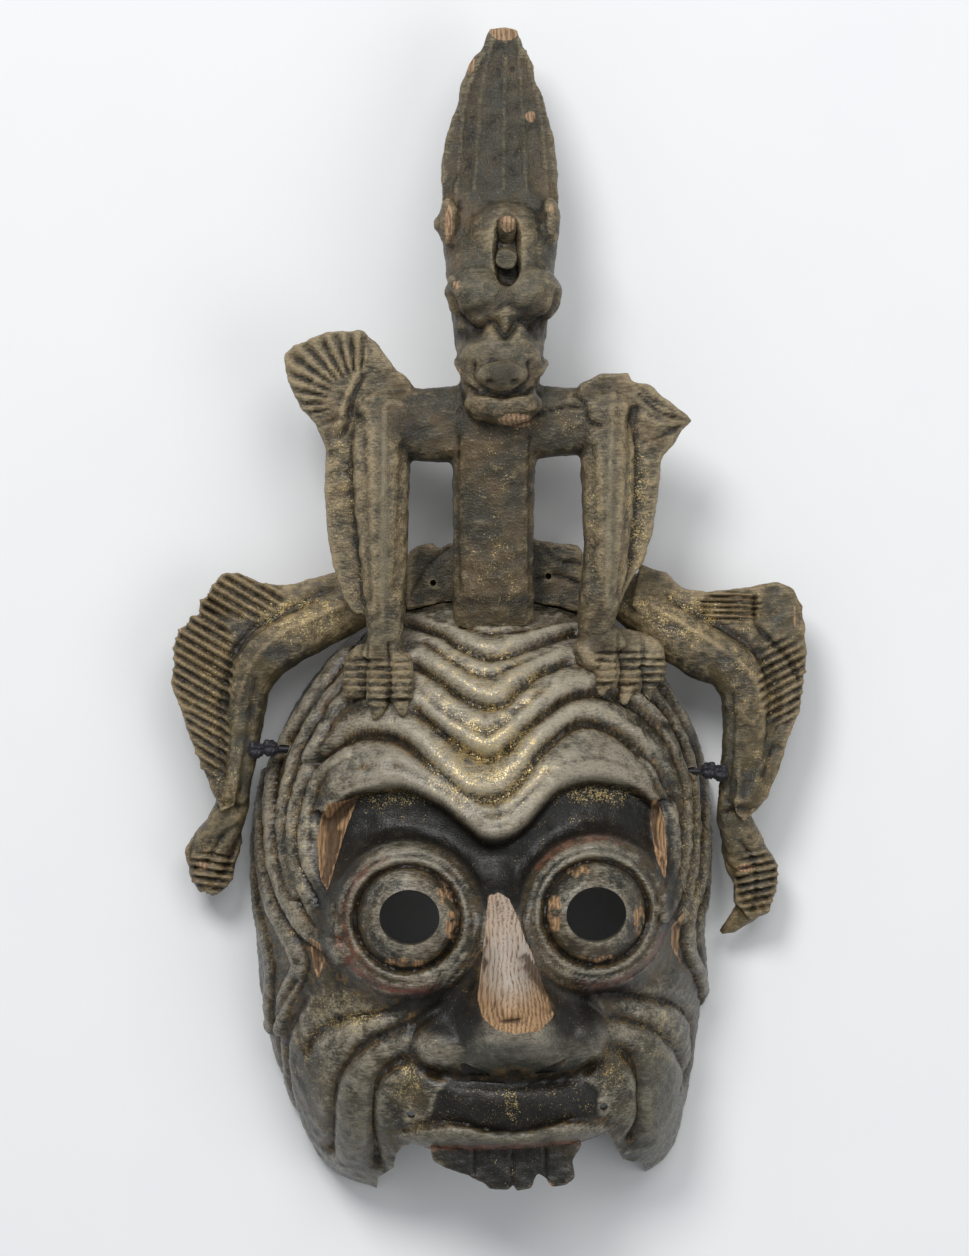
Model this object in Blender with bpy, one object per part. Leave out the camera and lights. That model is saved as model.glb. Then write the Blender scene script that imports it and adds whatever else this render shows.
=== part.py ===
"""Bugaku dance mask in carved, lacquered wood: a wrinkled face with a dragon on its crown.

The mask lies on its rim with the face up, as it does when it is put down.
+Z is out of the face, +Y runs up the forehead to the dragon, and +X is to the
right of someone who looks at the face.

Sizes are in millimetres and turn to metres in finish(). The carving is drawn on
the carver's grid, whose step is a share of the mask's own length. Walls, bores,
cords, fins and gaps are plain sizes of their own.
"""

import math

import bmesh
import bpy
import numpy as np
from mathutils import Matrix

# Driving sizes, in millimetres
MASK_LENGTH = 238.0
WALL = 8.5
EYE_BORE_WIDTH = 22.6
EYE_BORE_HEIGHT = 20.8
JAW_CORD_BORE = 3.0
TEETH_THICKNESS = 4.0
FIN_THICKNESS = 7.0
CREST_THICKNESS = 12.0
TIE_CORD = 2.4
TIE_BORE = 3.6
NAIL_BORE = 2.4
NAIL_DEPTH = 5.0
GAP = 0.3

# The carver's grid: 238 steps along the mask, a millimetre each at its real size
GRID_STEPS = 238.0
STEP = MASK_LENGTH / GRID_STEPS
METRES = 0.001

# How finely the surfaces are cut and how many facets are kept
MASK_CELLS = 190
MASK_FACETS = 3800
VOXEL = 1.3
DRAGON_FACETS = 2750
LEG_FACETS = 560
TIE_FACETS = 90

# The dome: its height, how full it is in plan and in height (2 would be an ellipsoid),
# and the radius whose profile sets how the cells are spread
DOME_HEIGHT = 72.0
PLAN_FULLNESS = 2.6
HEIGHT_FULLNESS = 2.2
SPREAD_RADIUS = 95.0

# Plan of the mask's rim, round from the right side
RIM = (
    (79.5, -1), (79, 33), (71.5, 66), (57, 90), (33, 112), (-2, 120), (-38.5, 113.5),
    (-64, 94), (-82.5, 67), (-92.5, 33.5), (-94, -3), (-91.5, -39.5), (-82.5, -73.5),
    (-67.5, -102), (-53, -110), (-27, -117), (11.5, -118.5), (46, -110), (64.5, -99),
    (71.5, -78), (76.5, -47),
)

# Furrows cut into the dome: half width, share of FURROW_DEPTH, points in plan
FURROW_DEPTH = 3.8
FURROWS = (
    (2.6, 0.8, ((-35.5, 106), (-23.5, 102.5), (-16, 97.5), (-5, 93), (5, 94.5), (16, 98.5), (28.5, 102.5))),
    (1.6, 0.3, ((-28.5, 98.5), (-16, 90), (-5, 86), (6, 90), (21, 96))),
    (2.6, 0.9, ((-32, 90), (-23.5, 85), (-16, 79), (-7.5, 75), (1, 75), (7.5, 81), (16, 87.5), (25.5, 91.5))),
    (1.6, 0.35, ((-28.5, 78), (-16, 69), (-5, 64.5), (2, 69), (15.5, 80))),
    (2.6, 0.95, ((-31.5, 73), (-22.5, 65.5), (-13.5, 58.5), (-6, 55), (1, 57), (8.5, 64.5), (15.5, 70.5),
                 (26.5, 78), (37.5, 79.5), (50, 75.5), (59, 68))),
    (2.8, 1.0, ((-70.5, 53), (-59, 61.5), (-49, 64), (-38, 61.5), (-29.5, 54.5), (-20.5, 47), (-12.5, 41),
                (-5, 39), (2, 41), (9.5, 48.5), (15.5, 57), (24.5, 65.5), (33, 68.5), (43, 65.5),
                (51.5, 59), (59, 52.5), (65, 40.5))),
    (1.6, 0.5, ((-40.5, 52), (-26.5, 46.5), (-16, 39.5), (-5, 33.5), (3.5, 35), (12, 42.5), (18, 49.5))),
    (2.4, 0.9, ((-32.5, -45), (-44.5, -49.5), (-55.5, -57), (-61.5, -64.5), (-64, -72), (-65, -83.5),
                (-65.5, -96))),
    (2.2, 0.7, ((-35.5, -39), (-48, -42), (-58.5, -43.5), (-67, -47.5), (-72, -52), (-73.5, -56.5))),
    (2.8, 1.0, ((-36, -59), (-42, -61.5), (-47, -67), (-49, -74), (-49, -82.5), (-48, -91.5),
                (-47.5, -100.5))),
    (1.8, 0.6, ((-76.5, -29.5), (-82, -39), (-85.5, -46.5), (-85, -57.5), (-84, -72.5))),
    (1.8, 0.6, ((-73.5, -36), (-79.5, -46), (-82, -56), (-81.5, -68), (-79, -80), (-76.5, -89.5))),
    (2.4, 0.9, ((36.5, -34), (44.5, -34), (52.5, -35.5), (61.5, -37.5), (68.5, -39.5), (73, -44),
                (74.5, -50), (74.5, -58.5), (72, -69.5))),
    (2.2, 0.8, ((43, -43), (49.5, -44.5), (56.5, -47), (64, -52), (69, -58.5), (71.5, -66), (70.5, -71.5))),
    (2.8, 1.0, ((43, -54), (48, -57), (52, -62.5), (54, -68), (54, -74.5), (53.5, -83), (50, -91))),
)

# Rolls of skin that stand up down both sides: height, points along the crest
ROLL_HALF_WIDTH = 4.2
ROLLS = (
    (2.0, ((-58.5, 57), (-67.5, 50.5), (-72.5, 37.5), (-74.5, 25), (-73, 14.5), (-67, 4), (-62.5, -10.5))),
    (2.4, ((-64.5, 74.5), (-77.5, 56), (-80.5, 39.5), (-81, 28.5), (-79, 14.5), (-75, 3.5), (-69, -10))),
    (3.2, ((-59, 93.5), (-70.5, 78), (-83.5, 56.5), (-87, 42.5), (-87, 28.5), (-85, 12), (-79.5, -0.5),
           (-73.5, -9.5), (-64, -15.5), (-60.5, -19.5))),
    (2.8, ((-90.5, 47.5), (-91.5, 31.5), (-90.5, 14), (-87, -1), (-82, -11), (-77, -19.5), (-76, -25.5),
           (-81.5, -36.5), (-84.5, -48.5))),
    (2.4, ((-94, 34.5), (-94, 16.5), (-93, -1.5), (-89.5, -15.5), (-87.5, -26.5), (-88, -37.5), (-88, -49))),
    (2.0, ((51, 63.5), (57.5, 52.5), (64, 41), (66, 29), (66.5, 18), (64, 6), (60.5, -2))),
    (2.4, ((61.5, 70.5), (69, 56.5), (72, 40.5), (72.5, 28.5), (72, 16), (69.5, 3), (66.5, -8))),
    (3.0, ((60, 82), (73.5, 57.5), (76.5, 46.5), (77.5, 31.5), (76.5, 17), (74.5, 4.5), (71.5, -4),
           (71.5, -18.5), (75, -26.5), (77.5, -36.5))),
)

# Lower edge of the brows, from left to right, and the overhang there
BROW = (
    (-65.5, 34.5), (-58.5, 40.5), (-50, 43.5), (-38, 45), (-28, 42), (-18.5, 36.5), (-10, 29), (-4, 24.5),
    (2, 25.5), (8.5, 30.5), (14.5, 37.5), (20.5, 43.5), (30.5, 47), (40, 47), (50, 44.5), (58, 39),
)
BROW_RISE = 3.5
BROW_SINK = 9.0

# The eyes: centres, and the height of ball and lids at each distance from the centre
EYES = ((-35, -5), (36, -3))
EYE_HOLES = ((-34, -4.5), (36, -3.5))
EYE_PROFILE = (
    (0, 11.5), (8, 11.2), (12, 10.2), (16, 8), (18.6, 5), (19.6, 3.2), (20.8, 6.8), (22.2, 8),
    (23.2, 6.9), (24.4, 7.4), (26, 5.6), (28.5, 1.8), (32, 0),
)

# The nose down its ridge: distance below the grid's middle, centre, height, half width
NOSE = (
    (-18, -1.5, 0, 6), (-8, -1, 5, 6.5), (5, 0, 11, 7), (16, 1.5, 16, 8.5), (27, 3, 21, 11), (38, 4.5, 27, 14),
    (45, 5.5, 29.5, 17), (50, 6, 27, 19), (56, 6, 19, 21), (62, 5, 8, 24), (68, 4, 0, 26),
)
NOSE_FULLNESS = 2.4
NOSE_WINGS = ((-21.5, -54, 11.5, 9), (32.5, -51, 11.5, 9))
WING_HEIGHT = 10.0
NOSTRILS = ((-9.5, -63), (18.5, -62))
NOSTRIL_WIDTH = 12.0
NOSTRIL_HEIGHT = 4.0
NOSTRIL_DEPTH = 6.0

# The crease under the nose: points in plan, half width and depth
NOSE_FOOT = ((-29, -58), (-19, -64.5), (-8, -66.5), (5, -67), (18, -66.5), (29, -64), (38, -57))
NOSE_FOOT_WIDTH = 3.6
NOSE_FOOT_DEPTH = 3.0

# The muzzle, the lip across it and the jowls: centre, half length and breadth, height
MUZZLE = (4, -80, 40, 19, 11)
LIP = ((-37, -88), (-27, -88.5), (-17, -88), (-7.5, -89.5), (4.5, -90), (17, -88.5), (28, -86.5), (37.5, -85.5),
       (44, -85))
LIP_HALF_WIDTH = 4.6
LIP_HEIGHT = 4.0
JOWLS = ((-57, -78, 12, 24, 5), (63, -74, 11, 24, 5))

# Where the height of the teeth is taken from the lip
TEETH_SEAT = (2, -90)

# The gap that the lost jaw left between the jowls, and the broken plate of teeth in it
JAW_GAP = (
    (-50, -130), (-46.5, -106), (-40.5, -101.5), (-39.5, -96), (-37, -92.5), (-33, -91), (-25.5, -93.5),
    (-11.5, -93), (4.5, -92.5), (22.5, -91), (30.5, -90.5), (41, -87), (44.5, -94.5), (47, -98.5),
    (55.5, -101), (59, -130),
)
TEETH = (
    (-26, -86), (-26, -94.5), (-25, -97.5), (-20, -100.5), (-12, -103), (-6.5, -105.5), (-4, -108), (3, -108.5),
    (5, -106), (6.5, -108.5), (11.5, -107.5), (14, -102), (17, -103.5), (19.5, -107), (25, -106.5),
    (28, -103.5), (27.5, -97.5), (30.5, -91.5), (30, -86),
)
TEETH_DROP = 9.5
JAW_CORD_HOLES = ((-33.5, -79.5), (39, -76.5))

# Heights that cutters reach from and to, clear of the face
CUT_LOW = 5.0
CUT_HIGH = 2 * DOME_HEIGHT * STEP
NOSTRIL_WAY = np.array((0, 0.9, 0.44))

# How far the hollow stays clear of narrow forms such as the nose, in cells
HOLLOW_REACH = 6


def smooth(value):
    """Eases from 0 to 1."""
    value = np.clip(value, 0.0, 1.0)
    return value * value * (3.0 - 2.0 * value)


def spline(points, spans, closed=False):
    """A smooth curve through the points."""
    points = np.array(points, float)
    count = len(points)
    curve = []
    for i in range(count if closed else count - 1):
        if closed:
            a, b, c, d = (points[(i + k) % count] for k in (-1, 0, 1, 2))
        else:
            a, b, c, d = (points[min(max(i + k, 0), count - 1)] for k in (-1, 0, 1, 2))
        for t in np.arange(spans) / spans:
            curve.append(0.5 * (2 * b + (c - a) * t + (2 * a - 5 * b + 4 * c - d) * t ** 2
                                + (3 * b - a - 3 * c + d) * t ** 3))
    if not closed:
        curve.append(points[-1])
    return np.array(curve)


def distance(points, line):
    """Distance from each point to a line of points."""
    nearest = np.full(len(points), 1e6)
    for start, end in zip(line[:-1], line[1:]):
        along = end - start
        share = np.clip(((points - start) @ along) / (along @ along), 0.0, 1.0)
        nearest = np.minimum(nearest, np.hypot(*(points - start - share[:, None] * along).T))
    return nearest


RIM_CURVE = spline(RIM, 8, closed=True)
RIM_ANGLES = np.arctan2(RIM_CURVE[:, 1], RIM_CURVE[:, 0])
RIM_RADII = np.hypot(RIM_CURVE[:, 0], RIM_CURVE[:, 1])


def rim_radius(angle):
    return np.interp(angle, RIM_ANGLES, RIM_RADII, period=2 * math.pi)


def dome(share):
    """Height of the dome at a share of the way out to the rim."""
    return DOME_HEIGHT * (1.0 - np.clip(share, 0, 1) ** PLAN_FULLNESS) ** (1.0 / HEIGHT_FULLNESS)


PROFILE_SHARES = np.sin(np.linspace(0, math.pi / 2, 400))
PROFILE_STEPS = np.hypot(np.diff(PROFILE_SHARES) * SPREAD_RADIUS, np.diff(dome(PROFILE_SHARES)))
PROFILE_WALK = np.concatenate(([0.0], np.cumsum(PROFILE_STEPS))) / PROFILE_STEPS.sum()


def chart(x, y):
    """Lays the dome out flat, so that its steep sides keep their true breadth."""
    angle = np.arctan2(y, x)
    radius = rim_radius(angle)
    walk = np.interp(np.hypot(x, y) / radius, PROFILE_SHARES, PROFILE_WALK)
    reach = walk * math.pi / 4 * np.sqrt(2 * (radius ** 2 + DOME_HEIGHT ** 2))
    return np.stack((reach * np.cos(angle), reach * np.sin(angle)), axis=-1)


def carving(flat):
    """Furrows and rolls on the laid-out dome: how far the surface stands out."""
    kept = np.ones(len(flat))
    for width, share, line in FURROWS:
        curve = spline(line, 4)
        away = distance(flat, chart(curve[:, 0], curve[:, 1]))
        kept *= 1.0 - share * np.exp(-(away / width) ** 1.4)
    rolls = np.zeros(len(flat))
    for height, line in ROLLS:
        curve = spline(line, 4)
        away = distance(flat, chart(curve[:, 0], curve[:, 1]))
        rolls = np.maximum(rolls, height * np.sqrt(np.clip(1.0 - (away / ROLL_HALF_WIDTH) ** 2, 0, 1)))
    return rolls - FURROW_DEPTH * (1.0 - kept)


def hump(x, y, form):
    """A soft rounded rise: centre, half length and breadth, height."""
    cx, cy, length, breadth, height = form
    return height * np.exp(-(((x - cx) / length) ** 2 + ((y - cy) / breadth) ** 2) ** 1.3)


def face(x, y):
    """How far brows, eyes, nose, muzzle and jowls rise straight out of the dome."""
    points = np.stack((x, y), axis=-1)
    brow = spline(BROW, 4)
    below = distance(points, brow) * np.sign(np.interp(x, brow[:, 0], brow[:, 1]) - y)
    across = smooth((x + 72) / 10) * smooth((64 - x) / 8)
    rise = BROW_RISE * np.exp(-((below + 5) / 7) ** 2) * across
    sink = BROW_SINK * smooth((below + 1) / 5) * (1 - smooth((below - 12) / 22)) * across
    rise = rise - sink
    profile = np.array(EYE_PROFILE)
    for eye in EYES:
        rise = rise + np.interp(np.hypot(x - eye[0], y - eye[1]), profile[:, 0], profile[:, 1])
    nose = np.array(NOSE)
    middle, height, width = (np.interp(-y, nose[:, 0], nose[:, k]) for k in (1, 2, 3))
    ridge = height * np.exp(-np.abs((x - middle) / width) ** NOSE_FULLNESS)
    forms = [ridge, hump(x, y, MUZZLE)]
    forms += [hump(x, y, wing + (WING_HEIGHT,)) for wing in NOSE_WINGS]
    rise = rise + np.sum([form ** 3 for form in forms], axis=0) ** (1 / 3)
    lip = distance(points, spline(LIP, 4))
    rise = rise + LIP_HEIGHT * np.sqrt(np.clip(1 - (lip / LIP_HALF_WIDTH) ** 2, 0, 1))
    foot = distance(points, spline(NOSE_FOOT, 4)) / NOSE_FOOT_WIDTH
    rise = rise - NOSE_FOOT_DEPTH * np.exp(-foot ** 2)
    for jowl in JOWLS:
        rise = rise + hump(x, y, jowl)
    return rise


def mask_top(x, y):
    """Height of the mask's face over a point in plan, without its furrows."""
    x, y = np.atleast_1d(np.array(x, float)), np.atleast_1d(np.array(y, float))
    share = np.hypot(x, y) / rim_radius(np.arctan2(y, x))
    return float((dome(share) + face(x, y))[0])


def disc(cells):
    """A square net of cells pulled out to a disc: angle and share of the way out."""
    line = np.linspace(-1, 1, cells + 1)
    u, v = np.meshgrid(line, line)
    wide = np.abs(u) >= np.abs(v)
    share = np.where(wide, np.abs(u), np.abs(v))
    safe_u = np.where(u == 0, 1, u)
    safe_v = np.where(v == 0, 1, v)
    angle = np.where(wide, math.pi / 4 * v / safe_u + np.where(u < 0, math.pi, 0),
                     math.pi / 2 - math.pi / 4 * u / safe_v + np.where(v < 0, math.pi, 0))
    return angle, share


def net_normals(points):
    """Outward directions of a square net of points."""
    normals = np.zeros_like(points)
    a, b, c, d = points[:-1, :-1], points[:-1, 1:], points[1:, 1:], points[1:, :-1]
    facing = np.cross(c - a, d - b)
    for rows, columns in ((slice(0, -1), slice(0, -1)), (slice(0, -1), slice(1, None)),
                          (slice(1, None), slice(1, None)), (slice(1, None), slice(0, -1))):
        normals[rows, columns] += facing
    return normals / np.linalg.norm(normals, axis=-1, keepdims=True)


def spread(field, rounds, pick):
    """Runs a filter over neighbouring cells a number of times."""
    for _ in range(rounds):
        wide = np.pad(field, 1, mode="edge")
        field = pick(np.stack((wide[1:-1, 1:-1], wide[:-2, 1:-1], wide[2:, 1:-1], wide[1:-1, :-2],
                               wide[1:-1, 2:])), axis=0)
    return field


def mask_nets(cells):
    """The mask's outer and inner surfaces as square nets of points, in steps."""
    angle, walk = disc(cells)
    share = np.interp(walk, PROFILE_WALK, PROFILE_SHARES)
    radius = rim_radius(angle)
    x, y = share * radius * np.cos(angle), share * radius * np.sin(angle)
    base = np.stack((x, y, dome(share)), axis=-1)
    normals = net_normals(base)
    edge = walk > 1 - 0.5 / cells
    normals[edge] *= (1, 1, 0)
    normals /= np.linalg.norm(normals, axis=-1, keepdims=True)
    flat = chart(x.ravel(), y.ravel())
    rise = face(x.ravel(), y.ravel()).reshape(x.shape)
    rise[edge] = 0
    outer = base + normals * carving(flat).reshape(x.shape)[..., None]
    outer[..., 2] += rise
    outer[edge, 2] = 0
    hollow = spread(spread(rise, HOLLOW_REACH, np.min), HOLLOW_REACH * 2, np.mean)
    inner = base - normals * (WALL / STEP)
    inner[..., 2] += np.minimum(hollow, rise)
    inner[..., 2] = np.maximum(inner[..., 2], 0)
    inner[edge, 2] = 0
    return outer, inner


def net_shell(outer, inner):
    """Closes two nets into one skin with a flat rim between them."""
    rows, columns = outer.shape[:2]
    index = np.arange(rows * columns).reshape(rows, columns)
    a, b, c, d = (index[:-1, :-1].ravel(), index[:-1, 1:].ravel(), index[1:, 1:].ravel(), index[1:, :-1].ravel())
    skin = np.stack((a, b, c, d), axis=1)
    shift = rows * columns
    ring = np.concatenate((index[0, :-1], index[:-1, -1], index[-1, :0:-1], index[:0:-1, 0]))
    after = np.roll(ring, -1)
    rim = np.stack((after, ring, ring + shift, after + shift), axis=1)
    faces = np.concatenate((skin, skin[:, ::-1] + shift, rim))
    return np.concatenate((outer.reshape(-1, 3), inner.reshape(-1, 3))), faces


def to_object(name, vertices, faces):
    mesh = bpy.data.meshes.new(name)
    mesh.from_pydata(np.asarray(vertices).tolist(), [], np.asarray(faces).tolist())
    mesh.update()
    piece = bpy.data.objects.new(name, mesh)
    bpy.context.scene.collection.objects.link(piece)
    return piece


def settle(piece):
    """Turns the object's modifiers into plain mesh."""
    bpy.context.view_layer.update()
    solved = piece.evaluated_get(bpy.context.evaluated_depsgraph_get())
    mesh = bpy.data.meshes.new_from_object(solved)
    old = piece.data
    piece.modifiers.clear()
    piece.data = mesh
    bpy.data.meshes.remove(old)


def combine(piece, other, operation):
    """Cuts away or adds another object, which is used up."""
    step = piece.modifiers.new(operation.lower(), "BOOLEAN")
    step.operation = operation
    step.solver = "EXACT"
    step.object = other
    settle(piece)
    bpy.data.objects.remove(other, do_unlink=True)


def thin_out(piece, facets):
    """Keeps about this many facets where the shape needs them most."""
    triangles = sum(len(face.vertices) - 2 for face in piece.data.polygons)
    step = piece.modifiers.new("thin_out", "DECIMATE")
    step.ratio = min(1.0, facets / triangles)
    settle(piece)


def grown(piece, amount):
    """A copy whose skin stands out by the amount."""
    copy = piece.copy()
    copy.data = piece.data.copy()
    bpy.context.scene.collection.objects.link(copy)
    mesh = bmesh.new()
    mesh.from_mesh(copy.data)
    mesh.normal_update()
    moves = [(vertex, vertex.normal * amount * max(1.0, vertex.calc_shell_factor())) for vertex in mesh.verts]
    for vertex, move in moves:
        vertex.co += move
    mesh.to_mesh(copy.data)
    mesh.free()
    return copy


def add_loft(mesh, path, fullness=2.6, spans=4, sides=20):
    """A limb: each station is x, y, z, half width across it and half thickness."""
    stations = spline(path, spans)
    centres = stations[:, :3]
    tangents = np.gradient(centres, axis=0)
    tangents /= np.linalg.norm(tangents, axis=1, keepdims=True)
    turn = np.linspace(0, 2 * math.pi, sides, endpoint=False)
    across = np.sign(np.cos(turn)) * np.abs(np.cos(turn)) ** (2 / fullness)
    up = np.sign(np.sin(turn)) * np.abs(np.sin(turn)) ** (2 / fullness)
    rings = []
    for centre, tangent, (width, thick) in zip(centres, tangents, stations[:, 3:]):
        side = np.cross(tangent, (0, 0, 1))
        side /= np.linalg.norm(side)
        lift = np.cross(side, tangent)
        ring = centre + np.outer(across * width, side) + np.outer(up * thick, lift)
        rings.append([mesh.verts.new(point * STEP) for point in ring])
    for one, two in zip(rings[:-1], rings[1:]):
        for k in range(sides):
            j = (k + 1) % sides
            mesh.faces.new((one[k], one[j], two[j], two[k]))
    mesh.faces.new(reversed(rings[0]))
    mesh.faces.new(rings[-1])


def add_plate(mesh, outline, middle, thickness):
    """A flat piece with this outline; middle gives its height over a point."""
    low, high = [], []
    for x, y in outline:
        z = middle(x, y) * STEP
        low.append(mesh.verts.new((x * STEP, y * STEP, z - thickness / 2)))
        high.append(mesh.verts.new((x * STEP, y * STEP, z + thickness / 2)))
    count = len(outline)
    for k in range(count):
        j = (k + 1) % count
        mesh.faces.new((low[k], low[j], high[j], high[k]))
    ends = [mesh.faces.new(low[::-1]), mesh.faces.new(high)]
    for end in ends:
        end.normal_update()
    bmesh.ops.triangulate(mesh, faces=ends, ngon_method="EAR_CLIP")


def add_ball(mesh, centre, radii):
    scale = Matrix.Diagonal((radii[0] * STEP, radii[1] * STEP, radii[2] * STEP, 1))
    place = Matrix.Translation([value * STEP for value in centre])
    bmesh.ops.create_icosphere(mesh, subdivisions=3, radius=1, matrix=place @ scale)


def fuse(name, build, voxel, relief=None):
    """Melts the forms that build adds into one skin, then carves it from above."""
    mesh = bmesh.new()
    build(mesh)
    bmesh.ops.recalc_face_normals(mesh, faces=mesh.faces)
    data = bpy.data.meshes.new(name)
    mesh.to_mesh(data)
    mesh.free()
    piece = bpy.data.objects.new(name, data)
    bpy.context.scene.collection.objects.link(piece)
    step = piece.modifiers.new("skin", "REMESH")
    step.mode = "VOXEL"
    step.voxel_size = voxel
    step.adaptivity = 0.0
    ease = piece.modifiers.new("ease", "SMOOTH")
    ease.factor = 0.5
    ease.iterations = 2
    settle(piece)
    if relief:
        points, normals = skin_arrays(piece.data)
        depth = relief(points / STEP) * np.clip(normals[:, 2] * 1.6, 0, 1)
        piece.data.vertices.foreach_set("co", (points + normals * (depth * STEP)[:, None]).ravel())
        piece.data.update()
    return piece


def skin_arrays(data):
    """The mesh's points and outward directions."""
    points = np.empty(len(data.vertices) * 3)
    data.vertices.foreach_get("co", points)
    normals = np.empty(len(data.vertices) * 3)
    data.vertex_normals.foreach_get("vector", normals)
    return points.reshape(-1, 3), normals.reshape(-1, 3)


def rod(name, start, end, radii, sides=24):
    """A bar between two points, round or oval, in millimetres."""
    start, end = np.array(start, float), np.array(end, float)
    axis = end - start
    length = np.linalg.norm(axis)
    axis /= length
    side = np.cross(axis, (0, 1, 0) if abs(axis[1]) < 0.9 else (1, 0, 0))
    side /= np.linalg.norm(side)
    lift = np.cross(axis, side)
    wide, high = radii
    frame = Matrix(np.stack((side * wide, lift * high, axis, (start + end) / 2), axis=1).tolist()).to_4x4()
    for row in range(3):
        frame[row][3] = ((start + end) / 2)[row]
    mesh = bmesh.new()
    bmesh.ops.create_cone(mesh, cap_ends=True, segments=sides, radius1=1, radius2=1, depth=length,
                          matrix=frame)
    data = bpy.data.meshes.new(name)
    mesh.to_mesh(data)
    mesh.free()
    piece = bpy.data.objects.new(name, data)
    bpy.context.scene.collection.objects.link(piece)
    return piece


def upright_rod(name, x, y, radii, sides):
    """A rod that stands over a point in plan, from inside the hollow to above the face."""
    return rod(name, (x * STEP, y * STEP, CUT_LOW), (x * STEP, y * STEP, CUT_HIGH), radii, sides)


def slab(name, outline, bottom, top):
    """An upright block with this outline in steps and its heights in millimetres."""
    mesh = bmesh.new()
    middle = (bottom + top) / 2 / STEP
    add_plate(mesh, outline, lambda x, y: middle, top - bottom)
    bmesh.ops.recalc_face_normals(mesh, faces=mesh.faces)
    data = bpy.data.meshes.new(name)
    mesh.to_mesh(data)
    mesh.free()
    piece = bpy.data.objects.new(name, data)
    bpy.context.scene.collection.objects.link(piece)
    return piece


def carve_mask(cells, facets):
    outer, inner = mask_nets(cells)
    vertices, faces = net_shell(outer, inner)
    mask = to_object("mask", vertices * STEP, faces)
    thin_out(mask, facets)
    for vertex in mask.data.vertices:
        if vertex.co.z < 0.2:
            vertex.co.z = 0.0
    for x, y in EYE_HOLES:
        combine(mask, upright_rod("eye_bore", x, y, (EYE_BORE_WIDTH / 2, EYE_BORE_HEIGHT / 2), 32), "DIFFERENCE")
    for x, y in JAW_CORD_HOLES:
        combine(mask, upright_rod("jaw_cord_bore", x, y, (JAW_CORD_BORE / 2,) * 2, 12), "DIFFERENCE")
    for x, y in NOSTRILS:
        mouth = np.array((x, y, mask_top(x, y))) * STEP
        combine(mask, rod("nostril", mouth - NOSTRIL_WAY * NOSTRIL_DEPTH, mouth + NOSTRIL_WAY * NOSTRIL_DEPTH,
                          (NOSTRIL_WIDTH / 2, NOSTRIL_HEIGHT / 2), 16), "DIFFERENCE")
    combine(mask, slab("jaw_gap", JAW_GAP, -CUT_LOW, CUT_HIGH), "DIFFERENCE")
    top = (mask_top(*TEETH_SEAT) - TEETH_DROP) * STEP
    combine(mask, slab("teeth", TEETH, top - TEETH_THICKNESS, top), "UNION")
    return mask


# The dragon. Stations are x, y, z, half width, half thickness, in steps
CHEST = ((-2, 105, 34, 15.5, 7), (-2.4, 113, 37, 15.5, 9), (-2.6, 130, 39, 15.2, 11), (-2.4, 160, 42, 15.5, 12),
         (-2.2, 180, 44, 16.5, 13), (-1, 196, 42, 14, 11))
HEAD = ((0, 184, 58, 9, 8), (0, 191, 55, 13.5, 14), (0, 201, 52, 15.5, 18), (0, 212, 50, 17, 18),
        (0, 224, 48, 18.5, 17), (0, 238, 45, 20.3, 15), (0, 252, 42, 21.8, 13), (0, 266, 39, 21.8, 10),
        (0, 280, 37, 19.5, 6),
        (0, 296, 36, 13, 3))
HEAD_LUMPS = (
    ((0.5, 200, 66), (14, 10, 9)),
    ((0.5, 198, 75), (8.5, 5.5, 6)),
    ((0, 192, 67), (14, 4.2, 6.5)),
    ((0, 187, 62), (12.5, 5, 7)),
    ((-9.5, 232, 57), (10.5, 9.5, 9)),
    ((11, 232, 57), (10, 9.5, 9)),
    ((1.5, 240, 54), (14, 12, 8)),
    ((-19.5, 257, 50), (3.8, 10, 6)),
    ((19, 257, 50), (3.8, 10, 6)),
    ((-23, 256.5, 49), (2, 3, 3)),
    ((2, 243.5, 60), (4.5, 5, 5)),
)
HEAD_LIMBS = (
    ((2, 229, 64, 4.5, 4), (2, 220, 66, 5, 4.5), (1.5, 212, 66, 6, 5), (1, 205, 68, 6, 5)),
    ((2.5, 249, 58, 3.2, 3), (2.5, 254, 62, 3.4, 3.2), (2.5, 259, 64, 2.6, 2.4)),
    ((-2.5, 237, 58, 2, 2.5), (-4.5, 246, 57, 2, 2.5), (-1.5, 256, 56, 2, 2.5), (2.5, 262, 54, 2, 2.5),
     (6.5, 256, 56, 2, 2.5), (9.5, 246, 57, 2, 2.5), (7.5, 237, 58, 2, 2.5)),
)
CREST = (
    (-20.5, 250), (-21.5, 260.5), (-22, 268), (-22, 281), (-21, 288.5), (-18.5, 297), (-16.5, 301),
    (-14.5, 310.5), (-12, 317), (-10, 321.5), (-6.5, 324), (-4, 331.5), (1, 332.5), (6.5, 331.5), (9, 324),
    (12, 319), (13.5, 310.5), (16, 306.5), (18.5, 296.5), (20, 290.5), (21.5, 281), (22, 264.5), (20.5, 250),
)
CREST_FLUTES = (
    ((-6, 326), (-13, 296), (-15.5, 262)),
    ((-1.5, 327), (-5.5, 300), (-7, 266)),
    ((3.5, 327), (3.5, 300), (2.5, 270)),
    ((8, 325), (10.5, 300), (11.5, 266)),
)
FLUTE_HALF_WIDTH = 2.4
FLUTE_HEIGHT = 1.6
ARMS = (
    ((-2, 181, 43, 14.5, 10), (-17, 181, 44, 14.5, 10.5), (-33, 181, 44, 13.5, 10.5), (-44, 182, 44, 12, 11),
     (-53, 184, 42, 9, 8)),
    ((-2, 182, 43, 14.5, 10), (14, 182, 44, 14, 10.5), (30, 182, 44, 12.5, 10.5), (41, 183, 44, 12, 11),
     (50, 184, 42, 9, 8)),
)
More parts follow.
